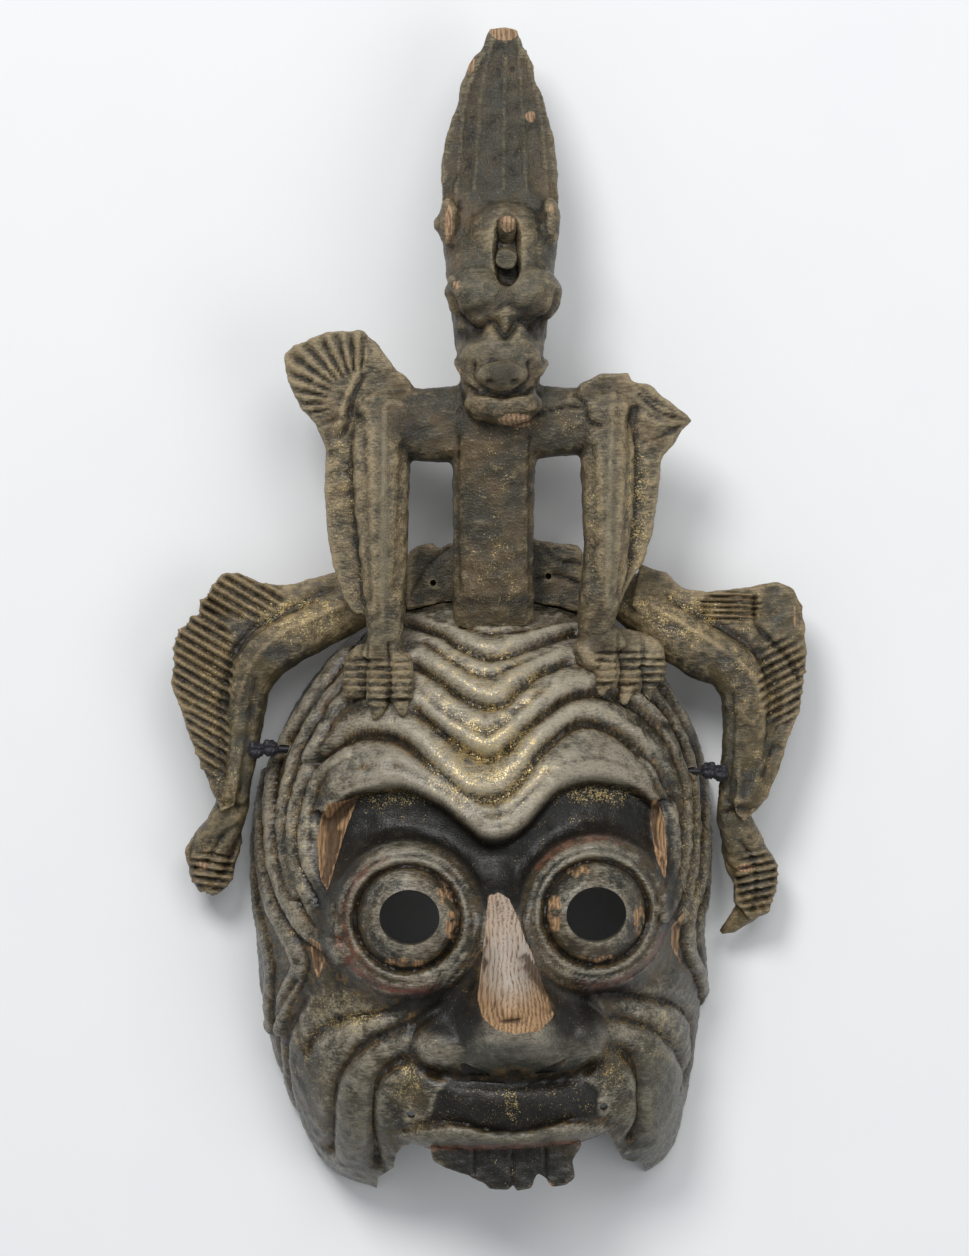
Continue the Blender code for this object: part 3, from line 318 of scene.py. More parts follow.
def inside(points, outline):
    """How far inside a closed outline each point is; negative outside."""
    outline = np.array(outline, float)
    ring = np.concatenate((outline, outline[:1]))
    crossings = np.zeros(len(points), int)
    for (x0, y0), (x1, y1) in zip(ring[:-1], ring[1:]):
        if y0 == y1:
            continue
        spans = (points[:, 1] >= min(y0, y1)) & (points[:, 1] < max(y0, y1))
        crossings += spans & (points[:, 0] < x0 + (points[:, 1] - y0) * (x1 - x0) / (y1 - y0))
    return distance(points, ring) * np.where(crossings % 2 == 1, 1, -1)


def uneven(points, waves):
    """Smooth hand-made unevenness: each wave has its height, the size of its features and a seed."""
    total = np.zeros(len(points))
    for height, size, seed in waves:
        dice = np.random.default_rng(seed)
        layer = np.zeros(len(points))
        for _ in range(WAVE_COUNT):
            way = dice.normal(size=points.shape[1])
            way *= dice.uniform(0.6, 1.5) * 2 * math.pi / size / np.linalg.norm(way)
            layer += np.sin(points @ way + dice.uniform(0, 2 * math.pi))
        total += height * layer * (1.4 / math.sqrt(WAVE_COUNT))
    return total


RIM_CURVE = spline(RIM, 8, closed=True)
RIM_ANGLES = np.arctan2(RIM_CURVE[:, 1], RIM_CURVE[:, 0])
RIM_RADII = np.hypot(RIM_CURVE[:, 0], RIM_CURVE[:, 1])


def rim_radius(angle):
    return np.interp(angle, RIM_ANGLES, RIM_RADII, period=2 * math.pi)


def dome(share):
    """Height of the dome at a share of the way out to the rim."""
    return DOME_HEIGHT * (1.0 - np.clip(share, 0, 1) ** PLAN_FULLNESS) ** (1.0 / HEIGHT_FULLNESS)


PROFILE_SHARES = np.sin(np.linspace(0, math.pi / 2, 400))
PROFILE_STEPS = np.hypot(np.diff(PROFILE_SHARES) * SPREAD_RADIUS, np.diff(dome(PROFILE_SHARES)))
PROFILE_WALK = np.concatenate(([0.0], np.cumsum(PROFILE_STEPS))) / PROFILE_STEPS.sum()


def chart(x, y):
    """Lays the dome out flat, so that its steep sides keep their true breadth."""
    angle = np.arctan2(y, x)
    radius = rim_radius(angle)
    walk = np.interp(np.hypot(x, y) / radius, PROFILE_SHARES, PROFILE_WALK)
    reach = walk * math.pi / 4 * np.sqrt(2 * (radius ** 2 + DOME_HEIGHT ** 2))
    return np.stack((reach * np.cos(angle), reach * np.sin(angle)), axis=-1)


def carving(flat):
    """Furrows and rolls on the laid-out dome: how far the surface stands out."""
    kept = np.ones(len(flat))
    swell = np.zeros(len(flat))
    for width, share, line in FURROWS:
        curve = spline(line, 6)
        crease = chart(curve[:, 0], curve[:, 1])
        away = distance(flat, crease)
        kept *= 1.0 - share * np.exp(-(away / width) ** FURROW_SHAPE)
        if curve[:, 1].min() > FOREHEAD:
            over = flat[:, 1] - np.interp(flat[:, 0], crease[:, 0], crease[:, 1])
            above = smooth(over / FOLD_EDGE)
            here = share * above * np.exp(-((away - FOLD_REACH) / FOLD_REACH) ** 2)
            swell = np.maximum(swell, FOLD_SWELL * here)
    rolls = np.zeros(len(flat))
    for height, width, line in ROLLS:
        curve = spline(line, 4)
        away = distance(flat, chart(curve[:, 0], curve[:, 1]))
        rolls = np.maximum(rolls, height * np.sqrt(np.clip(1.0 - (away / width) ** 2, 0, 1)))
    return rolls + swell - FURROW_DEPTH * (1.0 - kept)


def hump(x, y, form):
    """A soft rounded rise: centre, half length and breadth, height."""
    cx, cy, length, breadth, height = form
    return height * np.exp(-(((x - cx) / length) ** 2 + ((y - cy) / breadth) ** 2) ** HUMP_SHAPE)


def brow_distance(x, y):
    """How far below the brows' edge a point is, and how much the brows reach it sideways."""
    points = np.stack((x, y), axis=-1)
    brow = spline(BROW, 4)
    below = distance(points, brow) * np.sign(np.interp(x, brow[:, 0], brow[:, 1]) - y)
    left, right = (x - BROW_SIDES[0]) / BROW_ENDS[0], (BROW_SIDES[1] - x) / BROW_ENDS[1]
    return below, smooth(left) * smooth(right)


def face(x, y):
    """How far brows, eyes, nose, muzzle and jowls rise straight out of the dome."""
    points = np.stack((x, y), axis=-1)
    below, across = brow_distance(x, y)
    rise = BROW_RISE * np.exp(-((below + BROW_ROLL[0]) / BROW_ROLL[1]) ** 2) * across
    fading = 1 - smooth((below - BROW_FADE[0]) / BROW_FADE[1])
    rise = rise - BROW_SINK * smooth((below + 1) / 5) * fading * across
    profile = np.array(EYE_PROFILE)
    for eye in EYES:
        rise = rise + np.interp(np.hypot(x - eye[0], y - eye[1]), profile[:, 0], profile[:, 1])
    nose = np.array(NOSE)
    middle, height, width = (np.interp(-y, nose[:, 0], nose[:, k]) for k in (1, 2, 3))
    ridge = height * np.exp(-np.abs((x - middle) / width) ** NOSE_FULLNESS)
    forms = [ridge, hump(x, y, MUZZLE)]
    forms += [hump(x, y, wing + (WING_HEIGHT,)) for wing in NOSE_WINGS]
    rise = rise + np.sum([form ** 3 for form in forms], axis=0) ** (1 / 3)
    lip = distance(points, spline(LIP, 4))
    full = np.clip(1.15 - np.abs((x - LIP_MIDDLE) / LIP_REACH) ** 3, 0.2, 1)
    round_lip = np.sqrt(np.clip(1 - (lip / (LIP_HALF_WIDTH * full)) ** 2, 0, 1))
    rise = rise + LIP_HEIGHT * full * round_lip
    foot = distance(points, spline(NOSE_FOOT, 4)) / NOSE_FOOT_WIDTH
    rise = rise - NOSE_FOOT_DEPTH * np.exp(-foot ** 2)
    for depth, width, line in CREASES:
        rise = rise - depth * np.exp(-(distance(points, spline(line, 4)) / width) ** 2)
    for jowl in JOWLS:
        rise = rise + hump(x, y, jowl)
    return rise


def broken(x, y):
    """The shallow beds of the broken places."""
    points = np.stack((x, y), axis=-1)
    within = inside(points, NOSE_BREAK)
    bed = -CHIP_DEPTH * smooth(within / CHIP_SLOPE) - NOSE_CUT * smooth((within - 1) / 5)
    arch = distance(points, spline(NOSE_ARCH, 6))
    facet = smooth(inside(points, NOSE_ARCH[:-1]) / CHIP_SLOPE)
    bed = bed + CHIP_DEPTH * (facet - np.exp(-(arch / CHIP_SLOPE) ** 2))
    bed = bed - NOSE_LEDGE * smooth((NOSE_LEDGE_TOP - y) / 2) * smooth(within / 1.5)
    bed = bed - MOUSTACHE_DEPTH * smooth((inside(points, MOUSTACHE) + 0.5) / 2.2)
    for chip in CHIPS:
        bed = bed - CHIP_DEPTH * smooth(inside(points, chip))
    return bed


def mask_top(x, y):
    """Height of the mask's face over a point in plan, without its furrows."""
    x, y = np.atleast_1d(np.array(x, float)), np.atleast_1d(np.array(y, float))
    share = np.hypot(x, y) / rim_radius(np.arctan2(y, x))
    return float((dome(share) + face(x, y))[0])


def disc(cells):
    """A square net of cells pulled out to a disc: angle and share of the way out."""
    line = np.linspace(-1, 1, cells + 1)
    u, v = np.meshgrid(line, line)
    wide = np.abs(u) >= np.abs(v)
    share = np.where(wide, np.abs(u), np.abs(v))
    safe_u = np.where(u == 0, 1, u)
    safe_v = np.where(v == 0, 1, v)
    angle = np.where(wide, math.pi / 4 * v / safe_u + np.where(u < 0, math.pi, 0),
                     math.pi / 2 - math.pi / 4 * u / safe_v + np.where(v < 0, math.pi, 0))
    return angle, share


def net_normals(points):
    """Outward directions of a square net of points."""
    normals = np.zeros_like(points)
    a, b, c, d = points[:-1, :-1], points[:-1, 1:], points[1:, 1:], points[1:, :-1]
    facing = np.cross(c - a, d - b)
    for rows, columns in ((slice(0, -1), slice(0, -1)), (slice(0, -1), slice(1, None)),
                          (slice(1, None), slice(1, None)), (slice(1, None), slice(0, -1))):
        normals[rows, columns] += facing
    return normals / np.linalg.norm(normals, axis=-1, keepdims=True)


def spread(field, rounds, pick):
    """Runs a filter over neighbouring cells a number of times."""
    for _ in range(rounds):
        wide = np.pad(field, 1, mode="edge")
        field = pick(np.stack((wide[1:-1, 1:-1], wide[:-2, 1:-1], wide[2:, 1:-1], wide[1:-1, :-2],
                               wide[1:-1, 2:])), axis=0)
    return field


def dome_net(cells):
    """The plain dome as a square net: points, outward directions, rise of the face, and its edge."""
    angle, walk = disc(cells)
    share = np.interp(walk, PROFILE_WALK, PROFILE_SHARES)
    radius = rim_radius(angle)
    x, y = share * radius * np.cos(angle), share * radius * np.sin(angle)
    base = np.stack((x, y, dome(share)), axis=-1)
    normals = net_normals(base)
    edge = walk > 1 - 0.5 / cells
    normals[edge] *= (1, 1, 0)
    normals /= np.linalg.norm(normals, axis=-1, keepdims=True)
    rise = face(x.ravel(), y.ravel()).reshape(x.shape)
    rise[edge] = 0
    return base, normals, rise, edge


def outer_net(cells):
    base, normals, rise, edge = dome_net(cells)
    x, y = base[..., 0].ravel(), base[..., 1].ravel()
    flat = chart(x, y)
    relief = carving(flat) + uneven(flat, MASK_WAVES)
    outer = base + normals * relief.reshape(base.shape[:2])[..., None]
    outer[..., 2] += rise + broken(x, y).reshape(base.shape[:2])
    outer[edge, 2] = 0
    return outer


def inner_net(cells, reach):
    base, normals, rise, edge = dome_net(cells)
    hollow = spread(spread(rise, reach, np.min), reach * 2, np.mean)
    inner = base - normals * WALL
    inner[..., 2] += np.minimum(hollow, rise)
    inner[..., 2] = np.maximum(inner[..., 2], 0)
    inner[edge, 2] = 0
    return inner


def ring(index):
    """The border of a square net of indices, once round."""
    return np.concatenate((index[0, :-1], index[:-1, -1], index[-1, :0:-1], index[:0:-1, 0]))


def net_faces(index):
    return np.stack((index[:-1, :-1].ravel(), index[:-1, 1:].ravel(), index[1:, 1:].ravel(),
                     index[1:, :-1].ravel()), axis=1).tolist()


def mask_shell():
    """The mask's whole skin: a fine outer net, an inner one half as fine, and the rim between."""
    outer, inner = outer_net(MASK_CELLS), inner_net(MASK_CELLS // 2, HOLLOW_REACH)
    outside = np.arange(outer[..., 0].size).reshape(outer.shape[:2])
    within = np.arange(inner[..., 0].size).reshape(inner.shape[:2]) + outside.size
    faces = net_faces(outside) + [face[::-1] for face in net_faces(within)]
    far, near = ring(outside).tolist(), ring(within).tolist()
    for k in range(len(near)):
        a, b, c = (far[(2 * k + step) % len(far)] for step in range(3))
        p, q = near[k], near[(k + 1) % len(near)]
        faces += [[b, a, p], [q, b, p], [c, b, q]]
    return np.concatenate((outer.reshape(-1, 3), inner.reshape(-1, 3))), faces


# The dragon. Stations are x, y, z, half width, half thickness
CHEST = (
    (-2, 105, 34, 15.5, 7), (-2.4, 113, 37, 15.5, 9), (-2.6, 130, 39, 15.2, 11),
    (-2.4, 160, 42, 15.5, 12), (-2.2, 180, 44, 16.5, 13), (-1, 196, 42, 14, 11),
)
HEAD = (
    (0, 184, 58, 9, 8), (0, 191, 55, 13.5, 14), (0, 201, 52, 15.5, 18), (0, 212, 50, 17, 18),
    (0, 224, 48, 18.5, 17), (0, 238, 45, 20.3, 15), (0, 252, 42, 21.8, 13), (0, 266, 39, 21.8, 10),
    (0, 280, 37, 19.5, 6), (0, 296, 36, 13, 3),
)
HEAD_LUMPS = (
    ((0.5, 206, 61), (15.5, 9, 9)),
    ((0.5, 198.5, 73), (8.9, 5.6, 5.5)),
    ((1, 187.8, 61), (15, 7.8, 9.5)),
    ((-8.5, 229.5, 57), (12.5, 11, 11)),
    ((11.5, 229.5, 57), (12, 11, 11)),
    ((2, 221.5, 60), (5.5, 5, 7)),
    ((2, 246, 51), (17, 19, 9.5)),
    ((-19.5, 257, 50), (3.8, 10, 6)),
    ((19, 257, 50), (3.8, 10, 6)),
    ((-23, 256.5, 49), (2, 3, 3)),
    ((-17.3, 234, 61), (2.6, 3, 3)),
    ((20, 233, 59), (2.2, 3, 3)),
)
HEAD_LIMBS = (
    ((-15.5, 204, 54, 2, 3), (-10.5, 199, 61, 2.6, 2.8), (0.5, 196, 64, 3, 2.8),
     (11.5, 199, 61, 2.6, 2.8), (16.5, 204, 54, 2, 3)),
)
PEG_STUBS = (
    ((2.5, 251.5, 54, 3.2, 3), (2.6, 255, 59, 3.5, 3.2), (2.8, 258.5, 62.5, 2.9, 2.7)),
    ((2.5, 245.5, 50, 3.2, 3.2), (2.4, 243.5, 57, 4.2, 4), (2.2, 242.5, 62.5, 3.8, 3.6)),
)
CREST = (
    (-20.5, 250), (-21.5, 260.5), (-22, 268), (-22, 281), (-21, 288.5), (-18.5, 297), (-16.5, 301),
    (-14.5, 310.5), (-12, 317), (-10, 321.5), (-6.5, 324), (-4, 331.5), (1, 332.5), (6.5, 331.5),
    (9, 324), (12, 319), (13.5, 310.5), (16, 306.5), (18.5, 296.5), (20, 290.5), (21.5, 281),
    (22, 264.5), (20.5, 250),
)
ARMS = (
    ((-2, 181, 43, 14.5, 10), (-17, 181, 44, 14.5, 10.5), (-33, 181, 44, 13.5, 10.5),
     (-44, 182, 44, 12, 11), (-53, 184, 42, 9, 8)),
    ((-2, 182, 43, 14.5, 10), (14, 182, 44, 14, 10.5), (30, 182, 44, 12.5, 10.5),
     (41, 183, 44, 12, 11), (50, 184, 42, 9, 8)),
)
FORELEGS = (
    ((-45, 190, 44, 9.5, 9), (-45, 173, 47, 11, 10.5), (-44.8, 153, 50, 10.3, 11),
     (-44, 131, 51, 9, 10.5), (-43.5, 112, 52, 7.6, 9), (-43.5, 101, 51, 6.6, 7.5),
     (-45, 92, 49, 8, 5.5)),
    ((41, 190, 44, 9.5, 9), (41, 173, 47, 10.6, 10.5), (40.8, 152, 50, 9.9, 11),
     (40, 130, 51, 8.5, 10.5), (37.5, 114, 50, 8, 9), (36.5, 104, 46, 7, 7.5),
     (40, 95, 42, 9, 5.5)),
)
FINS = (
    ((-32.5, 190), (-34, 197), (-40, 202.5), (-47.5, 212.5), (-52.5, 216.5), (-64.5, 216),
     (-76, 211.5), (-82, 207.5), (-80, 196), (-75, 186.5), (-69.5, 181), (-66, 171.5),
     (-66.5, 156.5), (-65.5, 141), (-63, 126), (-59, 114.5), (-54.5, 108.5), (-48, 110), (-46, 140),
     (-44, 180)),
    ((29.5, 190), (30.5, 196), (38.5, 200), (48.5, 200.5), (50, 197), (56.5, 196), (63, 190),
     (68, 186.5), (72.5, 182.5), (68, 177), (63, 170.5), (61, 168), (60, 155.5), (57.5, 139.5),
     (55.5, 132.5), (53, 127), (48.5, 120), (45.5, 113), (40, 112), (42, 140), (40, 180)),
)
FIN_HEIGHT = 48.0
FIN_SLOPE = 0.15
FIN_ROOT = 45
PAW_THICKNESS = 5.5
PAW_FLOOR = 37.0
PALMS = (
    ((-57, 89.5, 3), (-53, 90, 7), (-46, 90.5, 8.5), (-39, 90, 7), (-35.5, 89.5, 3)),
    ((29.5, 93, 3), (33, 94, 7), (41, 95, 8.5), (50, 95, 8), (58, 93.5, 6.5), (62, 92.5, 3)),
)
FINGERS = (
    ((-54, 92, 5), (-55, 84, 5), (-55, 77.5, 4.2)),
    ((-46, 92, 5), (-46, 84, 5), (-46, 76, 4.4)),
    ((-38, 92, 5), (-37.5, 84, 5), (-37, 76.5, 4.2)),
    ((-46, 78, 3.4), (-46.5, 73, 2.8), (-47.5, 69, 1.2)),
    ((-37.5, 79, 3.4), (-37, 74, 2.6), (-36.5, 70.5, 1.2)),
    ((40.5, 95, 5), (40.5, 88, 5), (40, 82, 4.2)),
    ((49.5, 95, 5.2), (49.5, 88, 5.2), (49.2, 81, 4.6)),
    ((58, 94, 4.6), (58.5, 88, 4.8), (58, 83, 4)),
    ((39.5, 84, 3.2), (38.5, 80, 2.2), (38, 78, 1.2)),
    ((48.5, 83, 3.4), (47.5, 78, 2.6), (47, 74.5, 1.2)),
    ((57, 84, 3.2), (56, 79, 2.4), (55, 74.5, 1.2)),
)
BACK_PLATE = (
    (-36, 110.5), (-36, 120), (-35, 132.5), (-32, 135), (-25.5, 136), (-24.5, 134), (-19, 136),
    (13.5, 138), (15.5, 137), (18.5, 136.5), (29, 135.5), (31.5, 132.5), (32.5, 120), (32, 109.5),
    (20, 112.5), (5, 114.5), (-10, 115), (-25, 113),
)
BACK_PLATE_HEIGHT = (8.0, 28.0)
NAIL_HOLES = ((-25.5, 121), (18.5, 123.5))

# Lines carved on the dragon: how far they stand up, half width, points in plan
DRAGON_LINES = (
    (0.8, 0.9, ((-5.9, 322.5), (-13, 305), (-15.6, 276.5), (-17, 262))),
    (0.8, 0.9, ((-2.7, 327), (-7.5, 305), (-9.8, 270))),
    (0.6, 0.8, ((2, 327), (1.7, 297), (1.4, 270))),
    (0.8, 0.9, ((6.8, 327), (8.3, 305), (10, 270))),
    (0.8, 0.9, ((9.2, 324), (14.7, 302), (17.5, 273), (18, 262))),
    (-0.5, 2.8, ((-4.5, 318), (-10, 300), (-12.6, 272))),
    (-0.6, 3.0, ((0, 322), (-2.6, 300), (-4.3, 268))),
    (-0.6, 3.0, ((4.4, 322), (5, 300), (5.8, 268))),
    (-0.5, 2.8, ((8, 318), (11.6, 302), (14, 270))),
    (-3.0, 1.8, ((-20, 229), (-16.5, 221), (-9.5, 217), (-3, 219.5), (2, 214), (7.4, 220),
                 (14, 217.5), (20.5, 223), (23, 230))),
    (-0.7, 0.9, ((-4, 221), (-0.5, 224.5), (2, 226), (5, 224.5), (8, 221))),
    (-1.6, 1.0, ((-18.5, 200), (-11, 193.4), (0.5, 191.2), (12, 193.4), (19, 200))),
    (-1.4, 1.1, ((-10, 203), (-10.5, 197.5), (-6, 193.2), (0.5, 192), (7, 193.2), (11.5, 197.5),
                 (11, 203))),
    (1.2, 1.3, ((-43.6, 187), (-43.6, 182.5), (-44, 150), (-44.3, 106))),
    (-1.5, 2.6, ((-36, 172), (-37.2, 150), (-38.6, 120))),
    (-1.6, 2.2, ((-53.5, 184), (-52.3, 176), (-51, 144), (-50.3, 114))),
    (1.2, 1.3, ((42.3, 187), (42.3, 181), (41.6, 164), (40.2, 112))),
    (-1.3, 2.4, ((34, 172), (34.6, 150), (34.5, 122))),
    (-1.7, 2.4, ((51, 186), (49.8, 178.7), (48.6, 144.6), (46, 116))),
    (-0.9, 0.9, ((-69, 180), (-62, 183), (-56, 181.5))),
    (-1.2, 1.2, ((-52, 199), (-56, 190), (-58, 181), (-61, 176))),
    (1.0, 1.3, ((-55, 199), (-59, 189), (-61, 180))),
    (-1.2, 0.9, ((28.5, 192.5), (31.5, 189), (33.5, 182), (38, 180.5))),
    (-1.1, 0.9, ((8, 183.5), (18, 185.5), (28, 187.5), (33, 186))),
    (-1.1, 1.0, ((53, 192), (60, 186), (71, 182.3))),
    (-0.9, 1.0, ((52, 196), (58, 190), (66, 186))),
    (-0.9, 1.0, ((54, 174), (60, 176), (68, 180))),
    (0.8, 1.2, ((53, 184), (61, 181), (70, 182.3))),
    (-0.8, 0.8, ((-16, 176), (-16.2, 150), (-15.5, 118))),
    (-0.8, 0.8, ((11.5, 176), (11.2, 150), (11.5, 118))),
    (-0.9, 0.8, ((-34, 117), (-28, 127), (-20, 134))),
    (-1.1, 0.9, ((14, 122), (20, 124), (30, 121))),
    (-0.9, 0.8, ((16, 136), (21, 130), (31, 128))),
    (-1.0, 0.8, ((-42, 98), (-42.2, 88), (-41.6, 74))),
    (-1.0, 0.8, ((-50.5, 98), (-50.6, 88), (-50.4, 76))),
    (-1.0, 0.8, ((45, 101), (45, 92), (44.6, 80))),
    (-1.0, 0.8, ((54, 100), (54.2, 92), (53.6, 80))),
)
SOCKET = (2.7, 246.5, 5.8, 15, 5.5)
EYE_HOLLOWS = ((-12, 214.5, 6.5, 3.6, 2.5), (16, 215, 6.5, 3.6, 2.5))
DRAGON_NOSTRILS = ((-4.4, 195.3, 1.9, 1.5, 1.8), (5.7, 195.3, 1.9, 1.5, 1.8))
# The fan of ribs on the left shoulder: centre, reach from and to, turn from and to, ribs
FAN = (-54, 189, 9, 31, 78, 198, 10)
FAN_EDGE = -50
FAN_HEIGHT = 0.75
FINGER_HALF_WIDTH = 5.5
RING_PITCH = 3.0
RING_HEIGHT = 0.6
CLAW_ROOT = 4

# The hind legs: limb, foot, the fin's outline and its ribs
HIND_LIMBS = (
    ((-38, 120, 20, 7.5, 7), (-47, 117, 21, 8.5, 8), (-56.5, 111.5, 24, 9, 9),
     (-68, 106, 26, 9.5, 9.5), (-80, 100, 28, 10, 10), (-89, 94, 29, 10, 10), (-95, 85, 29, 9, 9.5),
     (-97.5, 72, 27, 7.8, 9), (-99, 58, 26, 6.8, 8.5), (-101, 45, 25, 6, 8),
     (-103, 34, 23, 6.5, 7.5), (-109, 22, 19, 7.5, 6.5), (-112.5, 12, 16, 7, 5.5),
     (-111.5, 4, 14, 4.5, 4)),
    ((34, 121, 20, 7.5, 7), (44, 118.5, 21, 8.5, 8), (54, 112, 24, 10, 9), (66, 103, 26, 11, 9.5),
     (78, 95, 28, 11, 10), (88, 89, 29, 10, 10), (93, 79, 29, 9, 9.5), (93.5, 66, 27, 8.5, 9),
     (92, 52, 26, 7.5, 8.5), (90, 40, 25, 6.5, 8), (89.5, 31, 23, 6.5, 7.5), (94, 19, 19, 8, 6.5),
     (98.5, 8, 16, 8, 5.5), (98, 0, 14, 6, 4.5), (91, -9, 12, 3.5, 3.5), (85, -13.5, 11, 1.2, 1.5)),
)
HIND_FINS = (
    ((-52, 108), (-54.5, 118), (-61.5, 125.5), (-70.5, 123), (-81.5, 120), (-90.5, 120.5),
     (-100, 125), (-106, 124.5), (-110, 120), (-111.5, 116), (-114.5, 114), (-114.5, 108.5),
     (-118.5, 108), (-119, 105), (-122.5, 103), (-124.5, 97.5), (-124.5, 88.5), (-125.5, 82.5),
     (-122, 73), (-119.5, 65), (-116, 56.5), (-112, 47), (-109, 39), (-106, 34), (-101, 36),
     (-98, 60), (-94, 84), (-82, 98), (-66, 106)),
    ((50, 112), (53.5, 128), (63, 125), (70, 118.5), (79, 117.5), (87, 118.5), (93, 119),
     (101, 120.5), (106, 121.5), (112, 118.5), (115.5, 112), (116.5, 100.5), (117, 93.5),
     (116, 83.5), (114, 71.5), (110, 61.5), (106, 48.5), (102, 39.5), (98, 34.5), (93, 30),
     (89, 34), (92, 60), (91, 80), (78, 92), (62, 104)),
)
HIND_FEET = (
    ((-109, 34), (-116, 26), (-121, 18.5), (-119.5, 13), (-116, 7), (-110.5, 1), (-106, 3),
     (-102.5, 8), (-102, 13), (-99, 22), (-100, 32)),
    ((96, 32), (98, 26), (101.5, 20.5), (106.5, 13), (106.5, 7.5), (104.5, 0), (103, -5.5),
     (96, -8), (90, -1.5), (90, 5), (87, 11.5), (85, 19), (86, 28)),
)
HIND_FIN_HEIGHT = 24.0
HIND_FIN_SLOPE = 8.0
HIND_FIN_FADE = 12
HIND_FOOT_HEIGHT = 15.0
HIND_FOOT_THICKNESS = 9.0
HIND_LINES = (
    ((0.9, 1.6, ((-60, 112), (-72, 107), (-84, 101), (-92, 93), (-97, 84), (-100, 70), (-102.5, 52),
                 (-104, 38))),
     (-1.3, 1.8, ((-64, 119), (-78, 112), (-92, 104), (-101, 95), (-105, 82), (-106.5, 66),
                  (-106, 48))),
     (-1.0, 1.3, ((-93, 84), (-95, 70), (-97, 52), (-98.5, 40))),
     (-1.6, 1.5, ((-99, 35), (-104, 37), (-108, 36))),
     (-1.0, 1.2, ((-100, 28), (-106, 24), (-113, 14), (-118, 12)))),
    ((0.9, 1.6, ((58, 112), (72, 104), (84, 96), (94, 88), (99, 78), (100, 64), (98, 48),
                 (94, 38))),
     (-1.2, 1.8, ((64, 116), (78, 107), (92, 99), (102, 90), (106, 78), (105, 62), (101, 48))),
     (-1.0, 1.2, ((88, 78), (88.5, 64), (87.5, 50), (86.5, 38))),
     (-1.6, 1.5, ((86, 33), (92, 35), (98, 34))),
     (-1.0, 1.0, ((92, 22), (97, 14), (98, 2), (96, -7))),
     (-1.3, 1.0, ((97, 115.5), (97.5, 106), (104, 98.5), (110, 92), (113.5, 85)))),
)
# Ribs: pitch, how far they slope down to the right, height, and the patch they fill (x, y, radii)
HIND_RIBS = (
    ((3.5, 30, 0.9, (-98, 116, 15, 9)),
     (3.5, 30, 1.0, (-114, 92, 12, 25)),
     (3.4, 32, 0.9, (-112, 62, 9, 15)),
     (3.2, 8, 0.9, (-110.5, 9.5, 10, 9))),
    ((2.1, 2, 0.7, (88, 112, 12, 6.5)),
     (3.2, -28, 0.8, (108, 84, 10, 17)),
     (3.2, -12, 0.9, (99, 6, 9, 13))),
)

TIES = (
    ((-80, 57.5), -1, ((-93, 57.3, 34), (-87.5, 58, 35))),
    ((76, 49), 1, ((79.5, 49.5, 35), (84, 48.5, 34))),
)
TIE_CORD = 2.4
KNOT_RADIUS = 3.4
KNOT_STEM = 1.8
KNOT_LOOPS = 3
LOOP_TURN = 1.05
LOOP_INSET = 0.9
LOOP_CORD = 0.95
STOPPER_RADIUS = 2.6
TIE_HEIGHT = 27.0
TIE_REACH = 19.0
TIE_SLANT = 1.9

# Daylight left between the dragon's pieces, and a little more over the mask's coarser copy
GAP = 0.3
BLOCK_GAP = 0.45
BLOCK_DEPTH = 4


def to_object(name, vertices, faces):
    mesh = bpy.data.meshes.new(name)
    mesh.from_pydata(np.asarray(vertices).tolist(), [], faces)
    mesh.update()
    return placed(name, mesh)


def placed(name, mesh):
    piece = bpy.data.objects.new(name, mesh)
    bpy.context.scene.collection.objects.link(piece)
    return piece


def from_bmesh(name, mesh):
    bmesh.ops.recalc_face_normals(mesh, faces=mesh.faces)
    data = bpy.data.meshes.new(name)
    mesh.to_mesh(data)
    mesh.free()
    return placed(name, data)


def settle(piece):
    """Turns the object's modifiers into plain mesh."""
    bpy.context.view_layer.update()
    solved = piece.evaluated_get(bpy.context.evaluated_depsgraph_get())
    mesh = bpy.data.meshes.new_from_object(solved)
    old = piece.data
    piece.modifiers.clear()
    piece.data = mesh
    bpy.data.meshes.remove(old)


def combine(piece, other, operation, solver="EXACT"):
    """Cuts away or adds another object, which is used up."""
    step = piece.modifiers.new(operation.lower(), "BOOLEAN")
    step.operation = operation
    step.solver = solver
    step.object = other
    settle(piece)
    bpy.data.objects.remove(other, do_unlink=True)


def grown(piece, amount):
    """A copy whose skin stands out by the amount."""
    copy = placed(piece.name + "_grown", piece.data.copy())
    points, normals = skin_arrays(copy.data)
    copy.data.vertices.foreach_set("co", (points + normals * amount).ravel())
    copy.data.update()
    return copy


def add_loft(mesh, path, fullness=2.6, spans=6, sides=24):
    """A limb: each station is x, y, z, half width across it and half thickness."""
    stations = spline(path, spans)
    centres = stations[:, :3]
    tangents = np.gradient(centres, axis=0)
    tangents /= np.linalg.norm(tangents, axis=1, keepdims=True)
    turn = np.linspace(0, 2 * math.pi, sides, endpoint=False)
    across = np.sign(np.cos(turn)) * np.abs(np.cos(turn)) ** (2 / fullness)
    up = np.sign(np.sin(turn)) * np.abs(np.sin(turn)) ** (2 / fullness)
    rings = []
    for centre, tangent, (width, thick) in zip(centres, tangents, stations[:, 3:]):
        side = np.cross(tangent, (0, 0, 1))
        side /= np.linalg.norm(side)
        lift = np.cross(side, tangent)
        rings.append([mesh.verts.new(point) for point in
                      centre + np.outer(across * width, side) + np.outer(up * thick, lift)])
    for one, two in zip(rings[:-1], rings[1:]):
        for k in range(sides):
            j = (k + 1) % sides
            mesh.faces.new((one[k], one[j], two[j], two[k]))
    mesh.faces.new(reversed(rings[0]))
    mesh.faces.new(rings[-1])


